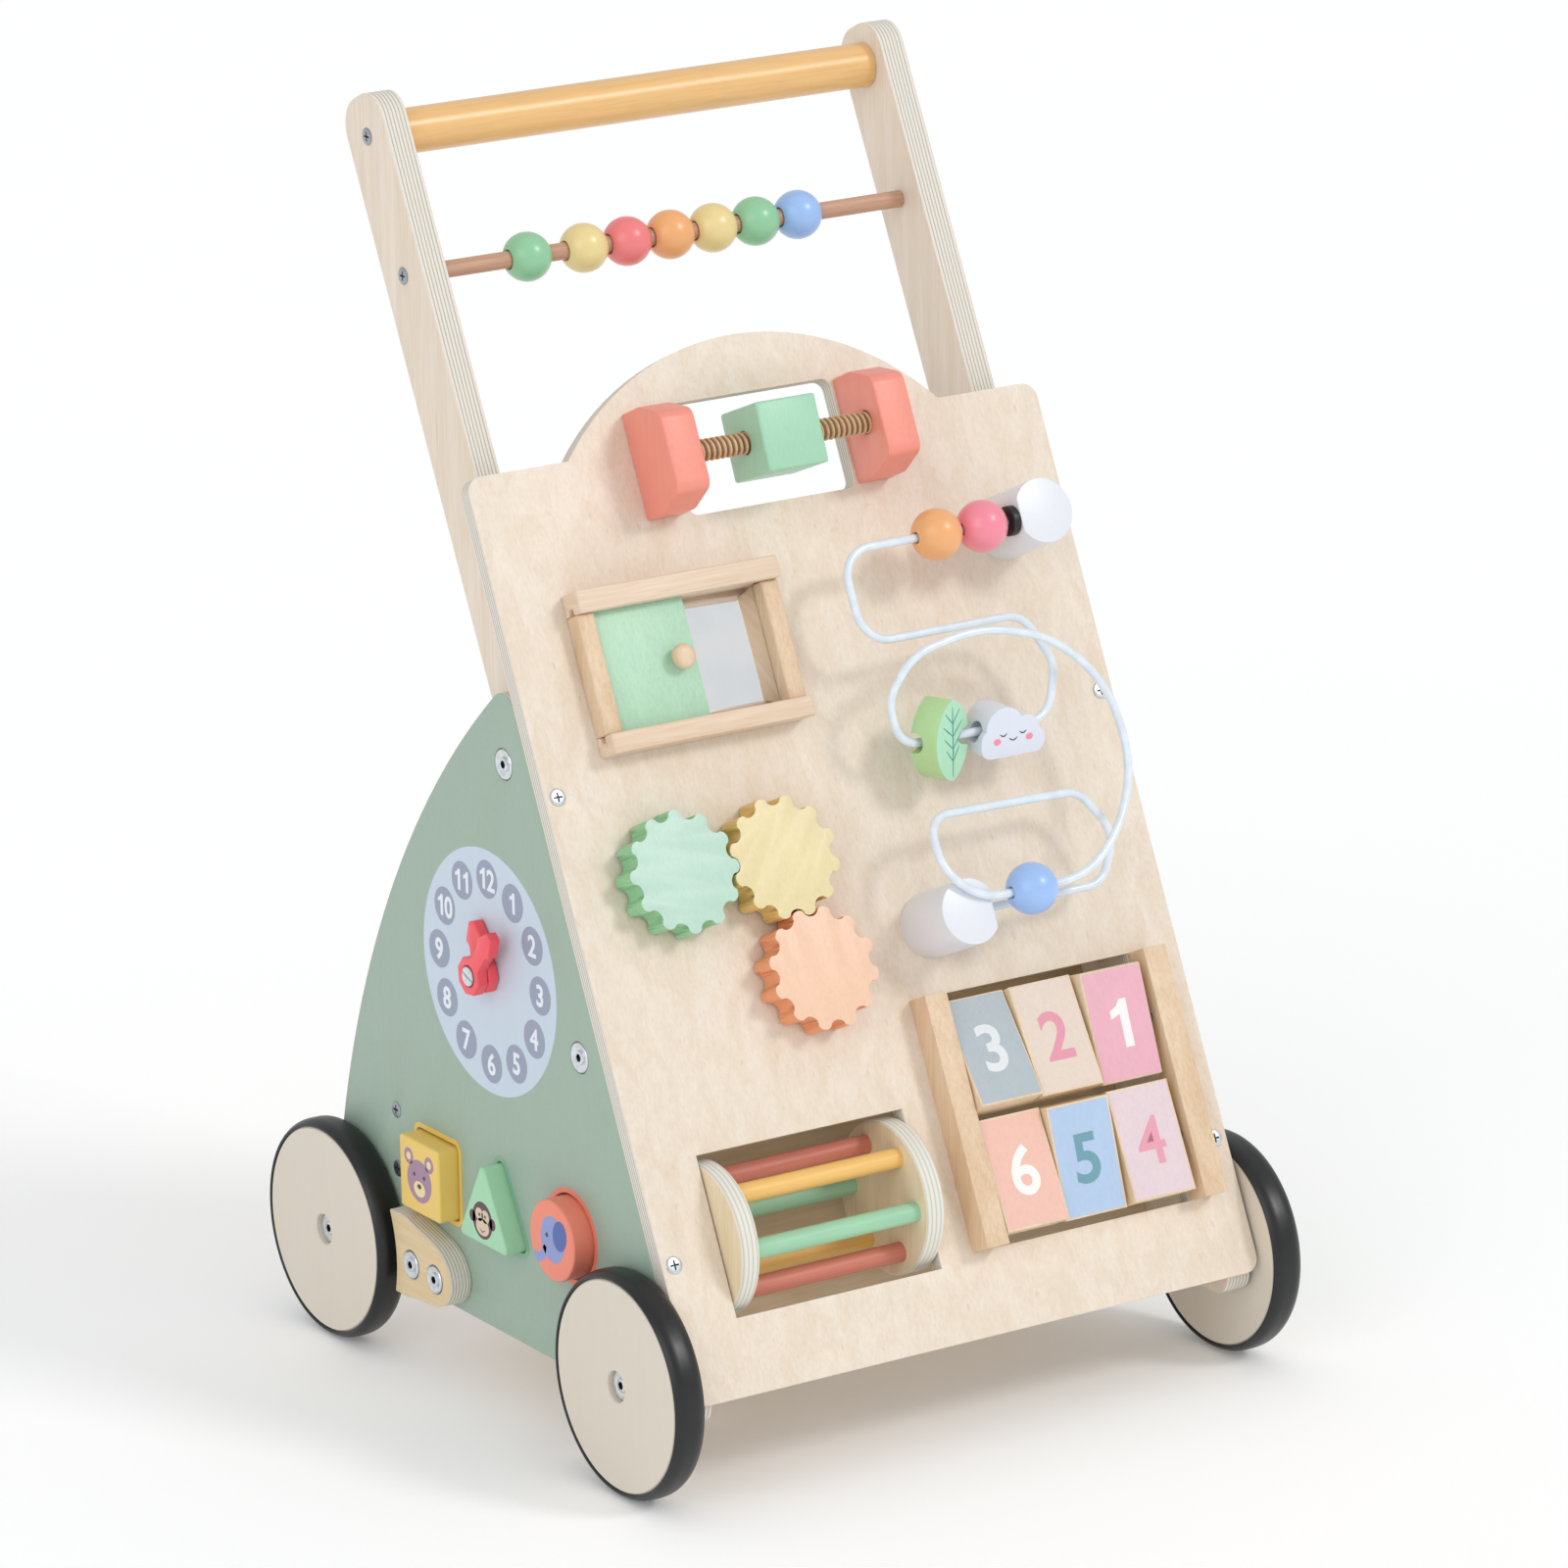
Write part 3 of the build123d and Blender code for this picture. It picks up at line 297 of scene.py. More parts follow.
def painted(name, code, side=None, way="z", rough=0.42, grainy=0.5, face=None, coat=0.12):
    """Painted wood whose grain shows faintly.

    side is a second colour, for wherever face(finish) isn't 1.
    """
    finish = Finish(name, Coat_Weight=coat, Coat_Roughness=0.3)
    streaks, figure = grain(finish, way)
    light = paint(code)
    dark = tuple(c * 0.88 for c in light[:3]) + (1.0,)
    pale = tuple(min(1.0, c * 1.06 + 0.01) for c in light[:3]) + (1.0,)
    colour = finish.blend(streaks.soft(0.35, 0.75) * grainy, light, dark)
    colour = finish.blend(figure.soft(0.4, 0.75) * 0.5 * grainy, colour, pale)
    if side is not None:
        edge = paint(side)
        shade = tuple(c * 0.86 for c in edge[:3]) + (1.0,)
        edging = finish.blend(streaks.soft(0.35, 0.75) * grainy, edge, shade)
        colour = finish.blend(face(finish), edging, colour)
    mottle = finish.noise(finish.turned(), 1400.0, 2.0)
    finish.feed("Base Color", colour)
    finish.feed("Roughness", mottle * 0.12 + (rough - 0.06))
    finish.bump(streaks * 0.7 + mottle * 0.5, 0.00006, 0.45 * grainy + 0.15)
    return finish.material


def ink(name, code, grainy=0.2):
    """Matt printed colour."""
    return painted(name, code, rough=0.5, grainy=grainy)


def metal(name, code, rough):
    finish = Finish(name, Metallic=1.0)
    scratch = finish.noise(finish.turned(scale=(1, 1, 0.2)), 2600.0, 3.0)
    bloom = finish.noise(finish.turned(), 500.0, 2.0)
    colour = finish.blend(bloom.soft(0.35, 0.7) * 0.35, paint(code), paint("#a9b4be"))
    finish.feed("Base Color", colour)
    finish.feed("Roughness", scratch * 0.22 + rough)
    finish.bump(scratch, 0.00003, 0.4)
    return finish.material


def rubber(name, code, rough):
    finish = Finish(name, Specular_IOR_Level=0.55)
    dust = finish.noise(finish.turned(), 120.0, 4.0)
    pores = finish.noise(finish.turned(), 2400.0, 2.0)
    finish.feed("Base Color", finish.blend(dust.soft(0.5, 0.8) * 0.3, paint(code), paint("#212327")))
    finish.feed("Roughness", dust * 0.16 + pores * 0.08 + rough)
    finish.bump(pores, 0.00005, 0.3)
    return finish.material


def enamel(name, code, rough):
    finish = Finish(name, Coat_Weight=0.5, Coat_Roughness=0.12)
    ripple = finish.noise(finish.turned(), 220.0, 2.0)
    finish.feed("Base Color", finish.blend(ripple.soft(0.35, 0.7) * 0.4, paint(code), paint("#c6d4e2")))
    finish.feed("Roughness", ripple * 0.1 + rough)
    finish.bump(ripple, 0.00005, 0.2)
    return finish.material


def mirror_finish(name):
    finish = Finish(name, Metallic=1.0)
    haze = finish.noise(finish.turned(), 45.0, 3.0)
    finish.feed("Base Color", finish.blend(haze.soft(0.3, 0.7), paint("#f4f7fa"), paint("#fdfeff")))
    finish.feed("Roughness", haze * 0.05 + 0.01)
    return finish.material


def front_of(level):
    """Where a piece on the panel shows its front face, above a height out of the panel."""
    return lambda finish: panel_height(finish).above(level)


# ---------------------------------------------------------------- making and placing meshes
SHARP = math.radians(38)
PRINT_DEPTH = 0.08


def piece(name, bm, matrix=None, smooth=True):
    """A finished object with its place in its mesh, smooth except at its sharp edges."""
    if matrix is not None:
        bmesh.ops.transform(bm, matrix=matrix, verts=bm.verts)
    bmesh.ops.recalc_face_normals(bm, faces=bm.faces)
    mesh = bpy.data.meshes.new(name)
    bm.to_mesh(mesh)
    bm.free()
    if smooth:
        mesh.shade_smooth()
        mesh.set_sharp_from_angle(angle=SHARP)
    made = bpy.data.objects.new(name, mesh)
    bpy.context.scene.collection.objects.link(made)
    return made


def fit(made, material, body, slot, *replaced):
    """Gives a piece its material and the body that it rides on, and hides the nodes it stands for."""
    made.data.materials.clear()
    made.data.materials.append(material)
    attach(made, body)
    if replaced:
        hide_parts(*replaced)
    return made


def ease(bm, width, segments=3, limit=SHARP):
    """Rounds every sharp edge of a closed shape."""
    bm.normal_update()
    edges = [e for e in bm.edges if len(e.link_faces) == 2 and e.calc_face_angle(0) > limit]
    bmesh.ops.bevel(
        bm,
        geom=edges,
        offset=width,
        clamp_overlap=True,
        offset_type="OFFSET",
        segments=segments,
        profile=0.5,
        affect="EDGES",
        material=-1,
    )


def merged(node):
    """A copy of a CAD node's mesh with its seams closed."""
    bm = bmesh.new()
    bm.from_mesh(NODES[node].data)
    bmesh.ops.remove_doubles(bm, verts=bm.verts, dist=0.000005)
    return bm


def eased(node, width, segments=3):
    """A copy of a CAD node with its sharp edges rounded."""
    bm = merged(node)
    bmesh.ops.dissolve_limit(bm, angle_limit=math.radians(0.4), verts=bm.verts, edges=bm.edges)
    ease(bm, width * MM, segments)
    return piece(f"{node}_eased", bm)


def softened(node, width, material, slot, body="frame", segments=3):
    """A CAD node's own shape with eased edges, in its finish."""
    return fit(eased(node, width, segments), material, body, slot, node)


def turned(profile, steps=32, closed=False):
    """The mesh of a profile of (radius, height) in millimetres spun round z."""
    bm = bmesh.new()
    verts = [bm.verts.new((radius * MM, 0, height * MM)) for radius, height in profile]
    pairs = list(zip(verts, verts[1:]))
    if closed:
        pairs.append((verts[-1], verts[0]))
    edges = [bm.edges.new(pair) for pair in pairs]
    options = {"angle": 2 * math.pi, "steps": steps, "use_merge": True}
    bmesh.ops.spin(bm, geom=verts + edges, cent=(0, 0, 0), axis=(0, 0, 1), **options)
    bmesh.ops.remove_doubles(bm, verts=bm.verts, dist=0.000002)
    return bm


def lathe(name, profile, matrix, steps=64, closed=False):
    """A turned piece, with the frame's z as its axis."""
    return piece(name, turned(profile, steps, closed), matrix)


def oblong(half_wide, half_high):
    """The corners of a rectangle about its own middle, counter-clockwise."""
    return [(side * half_wide, rise * half_high) for side, rise in ((-1, -1), (1, -1), (1, 1), (-1, 1))]


def hexagon(radius):
    """The corners of a hexagon about its own middle, counter-clockwise."""
    return [(radius * math.cos(math.pi * k / 3), radius * math.sin(math.pi * k / 3)) for k in range(6)]


def slab(bm, outline, low, high):
    """Adds a flat-ended shape between two heights to a mesh, from an outline in millimetres."""
    base = bm.faces.new([bm.verts.new((x * MM, y * MM, low * MM)) for x, y in outline])
    grown = bmesh.ops.extrude_face_region(bm, geom=[base])
    lifted = [item for item in grown["geom"] if isinstance(item, bmesh.types.BMVert)]
    bmesh.ops.translate(bm, verts=lifted, vec=(0, 0, (high - low) * MM))


def printed(name, outlines, matrix, layer=0, depth=PRINT_DEPTH):
    """A thin printed layer of one colour made of several outlines, standing on a face."""
    bm = bmesh.new()
    for outline in outlines:
        slab(bm, outline, layer * depth, (layer + 1) * depth)
    return piece(name, bm, matrix, False)


def oval(x, y, wide, high=None, turn=0.0, steps=40):
    """An ellipse outline, turned by degrees."""
    high = wide if high is None else high
    cos, sin = math.cos(math.radians(turn)), math.sin(math.radians(turn))
    points = []
    for step in range(steps):
        angle = 2 * math.pi * step / steps
        a, b = wide * math.cos(angle), high * math.sin(angle)
        points.append((x + a * cos - b * sin, y + a * sin + b * cos))
    return points


def ribbon(points, width):
    """The outline of a stroke along given points, with tapered ends."""
    left, right = [], []
    for index, (x, y) in enumerate(points):
        before = points[max(index - 1, 0)]
        after = points[min(index + 1, len(points) - 1)]
        run = math.hypot(after[0] - before[0], after[1] - before[1])
        across = (-(after[1] - before[1]) / run, (after[0] - before[0]) / run)
        half = width / 2 * (0.45 if index in (0, len(points) - 1) else 1.0)
        left.append((x + across[0] * half, y + across[1] * half))
        right.append((x - across[0] * half, y - across[1] * half))
    return left + right[::-1]


def grown(corners, margin, radius, steps=6):
    """A convex outline, counter-clockwise, moved out by a margin, with rounded corners."""
    count = len(corners)
    points = []
    for index, corner in enumerate(corners):
        here = Vector(corner)
        back = (here - Vector(corners[index - 1])).normalized()
        ahead = (Vector(corners[(index + 1) % count]) - here).normalized()
        turn = math.acos(max(-1.0, min(1.0, back.dot(ahead))))
        inward = (ahead - back).normalized()
        centre = here + inward * ((radius - margin) / math.cos(turn / 2))
        start = math.atan2(-back.x, back.y)
        for step in range(steps + 1):
            angle = start + turn * step / steps
            normal = Vector((math.cos(angle), math.sin(angle)))
            points.append((centre.x + radius * normal.x, centre.y + radius * normal.y))
    return points


def rim(name, outer, inner, matrix, depth=0.1):
    """A flat painted rim between two outlines with as many points."""
    bm = bmesh.new()
    loops = []
    for outline in (outer, inner):
        verts = [bm.verts.new((x * MM, y * MM, 0)) for x, y in outline]
        loops += [bm.edges.new((a, b)) for a, b in zip(verts, verts[1:] + verts[:1])]
    bmesh.ops.bridge_loops(bm, edges=loops)
    grown_part = bmesh.ops.extrude_face_region(bm, geom=list(bm.faces))
    lifted = [item for item in grown_part["geom"] if isinstance(item, bmesh.types.BMVert)]
    bmesh.ops.translate(bm, verts=lifted, vec=(0, 0, depth * MM))
    return piece(name, bm, matrix)


FIGURE_ONE = (
    (0.0, -0.355),
    (0.15, -0.355),
    (0.15, 0.355),
    (0.03, 0.355),
    (-0.04, 0.26),
    (-0.16, 0.2),
    (-0.16, 0.08),
    (0.0, 0.14),
)


def figure(digit, height, weight, depth):
    """The mesh of one printed figure about its own middle."""
    bm = bmesh.new()
    if digit == "1":
        slab(bm, [(x * height, y * height) for x, y in FIGURE_ONE], 0, depth)
        return bm
    curve = bpy.data.curves.new("figure", "FONT")
    curve.body = digit
    curve.size = height * MM
    curve.align_x = "CENTER"
    curve.align_y = "CENTER"
    curve.offset = weight * MM
    curve.extrude = depth / 2 * MM
    curve.resolution_u = 6
    shown = bpy.data.objects.new("figure", curve)
    bpy.context.scene.collection.objects.link(shown)
    mesh = bpy.data.meshes.new_from_object(shown.evaluated_get(bpy.context.evaluated_depsgraph_get()))
    bpy.data.objects.remove(shown)
    bm.from_mesh(mesh)
    bpy.data.meshes.remove(mesh)
    bmesh.ops.remove_doubles(bm, verts=bm.verts, dist=0.000001)
    low = min(vert.co.y for vert in bm.verts)
    high = max(vert.co.y for vert in bm.verts)
    bmesh.ops.translate(bm, verts=bm.verts, vec=(0, -(low + high) / 2, depth / 2 * MM))
    return bm


def numeral(name, text, height, matrix, weight=0.0, depth=PRINT_DEPTH):
    """A printed number, centred on its frame."""
    whole = bmesh.new()
    for index, digit in enumerate(text):
        shift = (index - (len(text) - 1) / 2) * 0.5 * height
        part = figure(digit, height, weight, depth)
        bmesh.ops.translate(part, verts=part.verts, vec=(shift * MM, 0, 0))
        mesh = bpy.data.meshes.new("figure")
        part.to_mesh(mesh)
        part.free()
        whole.from_mesh(mesh)
        bpy.data.meshes.remove(mesh)
    return piece(name, whole, matrix, False)


def carved(body_bm, cutter_bm):
    """The mesh of one closed shape with another cut out of it."""
    parts = []
    for shape in (body_bm, cutter_bm):
        bmesh.ops.recalc_face_normals(shape, faces=shape.faces)
        mesh = bpy.data.meshes.new("blank")
        shape.to_mesh(mesh)
        shape.free()
        blank = bpy.data.objects.new("blank", mesh)
        bpy.context.scene.collection.objects.link(blank)
        parts.append(blank)
    tool = parts[0].modifiers.new("cut", "BOOLEAN")
    tool.object = parts[1]
    tool.solver = "EXACT"
    graph = bpy.context.evaluated_depsgraph_get()
    mesh = bpy.data.meshes.new_from_object(parts[0].evaluated_get(graph))
    for blank in parts:
        bpy.data.objects.remove(blank)
    bm = bmesh.new()
    bm.from_mesh(mesh)
    bpy.data.meshes.remove(mesh)
    return bm


# ---------------------------------------------------------------- the finishes of this walker
BIRCH_INSIDE = veneer("birch inside", "x", "#e8d6ba", "#d9c19b")
PANEL_PLY = ply("panel plywood", "slope", PANEL_THICK, panel_depth, 5)
SIDE_THICK = SIDE_OUTER - SIDE_INNER
SIDE_PLY = ply("side plywood green", "z", SIDE_THICK, side_depth(SIDE_INNER), 7, ("#a0b5a5", "#9bb0a0"))
POST_PLY = ply("post plywood", "post", SIDE_INNER - POST_INNER, side_depth(POST_INNER), 7)
STOP_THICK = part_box("wheel_stops")[1].x / MM - SIDE_OUTER
STOP_PLY = ply("stop plywood", "y", STOP_THICK, side_depth(SIDE_OUTER), 7, None, "#e6d0a8", "#d9bf92")
BEECH = veneer("beech", "x", "#ead5c0", "#d8bb9c")
BEECH_UP = veneer("beech upright", "slope", "#e6cdaf", "#d3b38e")
ROD_WOOD = veneer("abacus rod wood", "x", "#cfa98f", "#b98a70")
HONEY = painted("honey varnish", "#ebbc7a", way="x", rough=0.3, grainy=0.9, coat=0.35)
ZINC = metal("zinc plate", "#dfe3e6", 0.22)
ZINC_DARK = metal("dull zinc", "#a4a9ad", 0.3)
# Painted shade: a dark metal for the hollows of the screw and bolt drive recesses.
RECESS_SHADE = metal("painted recess shade", "#2f363e", 0.45)
TYRE = rubber("tyre rubber", "#0e0f11", 0.24)
WASHER = rubber("washer rubber", "#121315", 0.3)
CREAM = painted("cream paint", "#dcd3c4", rough=0.5, grainy=0.2)
WHITE = painted("white paint", "#e3e6ed", rough=0.35, grainy=0.15, coat=0.25)
WIRE = enamel("wire enamel", "#e3ecf4", 0.22)
MIRROR = mirror_finish("mirror sheet")
RED = painted("red plastic", "#f5525c", rough=0.36, grainy=0.12, coat=0.2)

BEAD_COLOURS = {
    "green": ("#90cca0", "green_paint"),
    "yellow": ("#ecd696", "yellow_paint"),
    "coral": ("#f17f80", "salmon_paint"),
    "orange": ("#f1ae72", "orange_paint"),
    "blue": ("#9cc0f4", "blue_paint"),
    "pink": ("#f48b9e", "pink_paint"),
}
BEAD_PAINTS = {
    colour: (painted(f"{colour} bead paint", code, way="x", rough=0.3, grainy=0.22, coat=0.35), slot)
    for colour, (code, slot) in BEAD_COLOURS.items()
}

# ---------------------------------------------------------------- camera, light and floor
camera_data = bpy.data.cameras.new("camera")
camera = bpy.data.objects.new("camera", camera_data)
bpy.context.scene.collection.objects.link(camera)
CAMERA_PLACE = Vector((-1.6506, -2.5497, 1.1236))
LOOK = Vector((0.52288, 0.80454, -0.28163))
ROLL = math.radians(-0.938)
camera_data.lens = 184.52
camera_data.sensor_width = 36.0
camera_data.clip_end = 60.0
level_right = LOOK.cross(Vector((0, 0, 1))).normalized()
level_up = level_right.cross(LOOK).normalized()
right = level_right * math.cos(ROLL) + level_up * math.sin(ROLL)
camera.matrix_world = axes(CAMERA_PLACE, right, right.cross(LOOK), -LOOK)
bpy.context.scene.camera = camera

world = bpy.data.worlds.new("studio")
world.use_nodes = True
world.node_tree.nodes["Background"].inputs["Color"].default_value = (0.98, 0.99, 1.0, 1.0)
world.node_tree.nodes["Background"].inputs["Strength"].default_value = 0.72
bpy.context.scene.world = world
bpy.context.scene.view_settings.view_transform = "Standard"


def sun(name, strength, spread, toward, colour):
    """A soft distant light that shines in a direction."""
    lamp = bpy.data.lights.new(name, "SUN")
    lamp.energy = strength
    lamp.angle = math.radians(spread)
    lamp.color = colour
    holder = bpy.data.objects.new(name, lamp)
    holder.rotation_euler = Vector(toward).to_track_quat("-Z", "Y").to_euler()
    bpy.context.scene.collection.objects.link(holder)


sun("key_light", 0.78, 14, (-0.43, 0.65, -0.63), (1.0, 0.985, 0.965))
sun("left_softbox", 0.5, 40, (0.75, 0.45, -0.45), (0.98, 0.99, 1.0))

floor_bm = bmesh.new()
bmesh.ops.create_grid(floor_bm, x_segments=2, y_segments=2, size=20.0)
floor_piece = piece("floor", floor_bm)
floor_finish = Finish("pale floor", Roughness=0.85, Emission_Color=(1, 1, 1, 1), Emission_Strength=0.1)
floor_tone = floor_finish.noise(floor_finish.turned(), 2.0)
floor_finish.feed("Base Color", floor_finish.blend(floor_tone, (0.96, 0.96, 0.96, 1), (0.98, 0.98, 0.98, 1)))
floor_piece.data.materials.append(floor_finish.material)

# ---------------------------------------------------------------- boards, posts and bars
for board, width, board_ply, slot in (
    ("front_panel", 0.6, PANEL_PLY, "birch_ply"),
    ("side_panel_left", 0.8, SIDE_PLY, "green_ply"),
    ("side_panel_right", 0.8, SIDE_PLY, "green_ply"),
    ("handle_posts", 1.1, POST_PLY, "birch_ply"),
    ("wheel_stops", 0.7, STOP_PLY, "birch_ply"),
    ("inner_board", 0.5, BIRCH_INSIDE, "birch_ply"),
    ("storage_boards", 0.5, BIRCH_INSIDE, "birch_ply"),
    ("drum_bearings", 0.5, BIRCH_INSIDE, "birch_ply"),
):
    softened(board, width, board_ply, slot)


def bar(node, name, material, slot):
    """A round bar along X the size of its node, with softly rounded ends."""
    low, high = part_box(node)
    radius, half = (high.z - low.z) / 2 / MM, (high.x - low.x) / 2 / MM
    lip = 0.4
    profile = [(0, -half), (radius - lip, -half), (radius, lip - half)]
    profile += [(radius, half - lip), (radius - lip, half), (0, half)]
    made = lathe(name, profile, along(middle(node), ACROSS), 72)
    return fit(made, material, "frame", slot, node)


bar("handle_bar", "grip_bar", HONEY, "honey_varnish")
bar("abacus_rod", "bead_rod", ROD_WOOD, "beech")


def front_direction(node):
    """The outward direction of the flat side of a turning piece that faces out of the panel."""
    faces = [face for face in NODES[node].data.polygons if face.normal.dot(OUT) > 0.7]
    return max(faces, key=lambda face: face.area).normal.copy()


# ---------------------------------------------------------------- beads
ROD_HOLE = 3.7
WIRE_HOLE = 2.15


def bead(node, name, hole, colour):
    """A turned ball with a drilled, eased hole along X."""
    low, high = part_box(node)
    radius = (high.z - low.z) / 2 / MM
    lip = 0.5
    mouth = math.asin((hole + lip) / radius)
    arcs = 22
    profile = []
    for step in range(arcs + 1):
        angle = mouth + (math.pi - 2 * mouth) * step / arcs
        profile.append((radius * math.sin(angle), radius * math.cos(angle)))
    end = radius * math.cos(mouth) - lip
    profile += [(hole, -end), (hole, end)]
    made = lathe(name, profile, along(middle(node), ACROSS), 56, closed=True)
    material, slot = BEAD_PAINTS[colour]
    return fit(made, material, node, slot, node)


for label in ("green_left", "yellow_left", "coral", "orange", "yellow_right", "green_right", "blue"):
    bead(f"abacus_bead_{label}", f"bead_{label}", ROD_HOLE, label.split("_")[0])
for label in ("pink", "orange", "blue"):
    bead(f"maze_bead_{label}", f"maze_ball_{label}", WIRE_HOLE, label)


# ---------------------------------------------------------------- wheels
TYRE_WALL = 3.0
TREAD_DROP = 1.9
PIN_BORE = 3.05
WHEEL_RECESS = 6.2
RECESS_DEPTH = 5.3


def wheel(end, side):
    """A painted disc with a counterbore for its bolt, in a smooth rubber tyre with a round tread."""
    disc, ring, body = f"wheel_disc_{end}_{side}", f"tyre_{end}_{side}", f"wheel_{end}_{side}"
    low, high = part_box(ring)
    outward = ACROSS if side == "right" else -ACROSS
    place = along((low + high) / 2, outward)
    half = (high.x - low.x) / 2 / MM
    tread = (high.z - low.z) / 2 / MM
    seat = tread - TYRE_WALL
    ring_profile = [(seat, -half + 0.4), (seat + 0.5, -half)]
    for step in range(17):
        share = -1 + 2 * step / 16
        ring_profile.append((tread - TREAD_DROP * abs(share) ** 3.2, share * (half - 0.1)))
    ring_profile += [(seat + 0.5, half), (seat, half - 0.4)]
    made = lathe(f"wheel_tyre_{end}_{side}", ring_profile, place, 112, closed=True)
    fit(made, TYRE, body, "tyre_rubber", ring)
    face = half - 0.3
    rim_width = 0.7
    disc_profile = [
        (PIN_BORE, -face),
        (seat - rim_width, -face),
        (seat - 0.05, rim_width - face),
        (seat - 0.05, face - rim_width),
        (seat - rim_width, face),
        (WHEEL_RECESS + 0.5, face),
        (WHEEL_RECESS, face - 0.5),
        (WHEEL_RECESS, half - RECESS_DEPTH),
        (PIN_BORE, half - RECESS_DEPTH),
    ]
    made = lathe(f"wheel_face_{end}_{side}", disc_profile, place, 96, closed=True)
    fit(made, CREAM, body, "cream_paint", disc)


for wheel_side in ("left", "right"):
    for wheel_end in ("front", "rear"):
        wheel(wheel_end, wheel_side)


# ---------------------------------------------------------------- screws and bolts
def islands(node):
    """Each separate solid of a node, as the corners of its box and its points."""
    bm = merged(node)
    seen, found = set(), []
    for start in bm.verts:
        if start in seen:
            continue
        stack, group = [start], []
        seen.add(start)
        while stack:
            vert = stack.pop()
            group.append(vert.co.copy())
            for edge in vert.link_edges:
                other = edge.other_vert(vert)
                if other not in seen:
                    seen.add(other)
                    stack.append(other)
        low = Vector([min(co[axis] for co in group) for axis in range(3)])
        high = Vector([max(co[axis] for co in group) for axis in range(3)])
        found.append((low, high, group))
    bm.free()
    return found


def shade_recess(made, matrix, reach, top):
    """Darkens the recess in a metal head with painted shade: its faces within a reach of the middle and
    below a top.
    """
    made.data.materials.append(RECESS_SHADE)
    back = matrix.inverted()
    for face in made.data.polygons:
        spot = back @ face.center / MM
        if math.hypot(spot.x, spot.y) < reach and spot.z < top:
            face.material_index = 1
    return made


CROSS_ARM, CROSS_HALF = 1.9, 0.34


def screw_head(name, matrix, material):
    """A countersunk head, slightly domed, with a cross recess."""
    profile = [(0, -1.0), (1.9, -1.0), (3.3, 0.0), (3.38, 0.12), (3.2, 0.26), (2.2, 0.34), (0, 0.38)]
    head = turned(profile)
    for half_wide, half_high in ((CROSS_ARM, CROSS_HALF), (CROSS_HALF, CROSS_ARM)):
        cutter = bmesh.new()
        slab(cutter, oblong(half_wide, half_high), -0.5, 1.0)
        head = carved(head, cutter)
    made = fit(piece(name, head, matrix), material, "frame", "zinc")
    return shade_recess(made, matrix, reach=2.0, top=0.2)


SOCKET_RADIUS = 1.75
HEAD_TOP = 1.2
HEAD_DEPTH = 1.9
NUT_HEIGHT = 2.9
SCREW_PROUD = 0.3
SCREW_SINK = 1.1
SCREW_RADIUS = 1.7


def bolt_head(name, radius, matrix):
    """A dished washer head with a hexagon socket in its middle."""
    profile = [(0, -0.6), (radius, -0.6), (radius, 0.7), (radius - 0.35, 1.05), (radius - 0.9, 1.1)]
    profile += [(radius - 2.2, 0.55), (2.95, 0.45), (2.75, 1.0), (2.5, 1.15), (0, HEAD_TOP)]
    cutter = bmesh.new()
    slab(cutter, hexagon(SOCKET_RADIUS), 0.0, 2.0)
    made = fit(piece(name, carved(turned(profile, 48), cutter), matrix), ZINC, "frame", "zinc")
    return shade_recess(made, matrix, reach=1.8, top=1.1)


def shank(name, radius, start, end):
    """A plain metal shank between two points, with eased ends."""
    length = (end - start).length / MM
    profile = [(0, 0), (radius - 0.2, 0), (radius, 0.2)]
    profile += [(radius, length - 0.2), (radius - 0.2, length), (0, length)]
    made = lathe(name, profile, along(start, (end - start).normalized()), 24)
    return fit(made, ZINC_DARK, "frame", "zinc")


def farthest(group, direction):
    """The middle of a solid's end face in a direction."""
    reach = max(co.dot(direction) for co in group)
    face = [co for co in group if co.dot(direction) > reach - 0.00002]
    return sum(face, Vector()) / len(face)


for index, (low, high, group) in enumerate(islands("zinc_bolts")):
    outward = ACROSS if (low + high).x > 0 else -ACROSS
    outer, inner = farthest(group, outward), farthest(group, -outward)
    size = (high.z - low.z) / 2 / MM
    made = bolt_head(f"bolt_{index}", size, along(outer - outward * HEAD_TOP * MM, outward))
    if index == 0:
        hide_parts("zinc_bolts")
    shank(f"bolt_shank_{index}", size / 2, inner, outer - outward * HEAD_DEPTH * MM)
    nut = bmesh.new()
    slab(nut, hexagon(size), 0, NUT_HEIGHT)
    ease(nut, 0.4 * MM, 2)
    fit(piece(f"bolt_nut_{index}", nut, along(inner, outward)), ZINC_DARK, "frame", "zinc")

for index, (low, high, group) in enumerate(islands("wood_screws")):
    size = high - low
    if size.x > size.y and size.x > size.z:
        outward = ACROSS if (low + high).x > 0 else -ACROSS
        material = ZINC_DARK
    else:
        outward = OUT
        material = ZINC
    outer, inner = farthest(group, outward), farthest(group, -outward)
    made = screw_head(f"screw_{index}", along(outer - outward * SCREW_PROUD * MM, outward), material)
    if index == 0:
        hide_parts("wood_screws")
    shank(f"screw_shank_{index}", SCREW_RADIUS, inner, outer - outward * SCREW_SINK * MM)

softened("steel_pins", 0.25, ZINC_DARK, "zinc", segments=2)

# ---------------------------------------------------------------- nut toy
SALMON = painted("salmon paint", "#f29482", rough=0.4, grainy=0.5)
MINT = painted("mint paint", "#a2d4b4", way="slope", rough=0.42, grainy=0.45)
softened("vise_blocks", 1.4, SALMON, "salmon_paint")


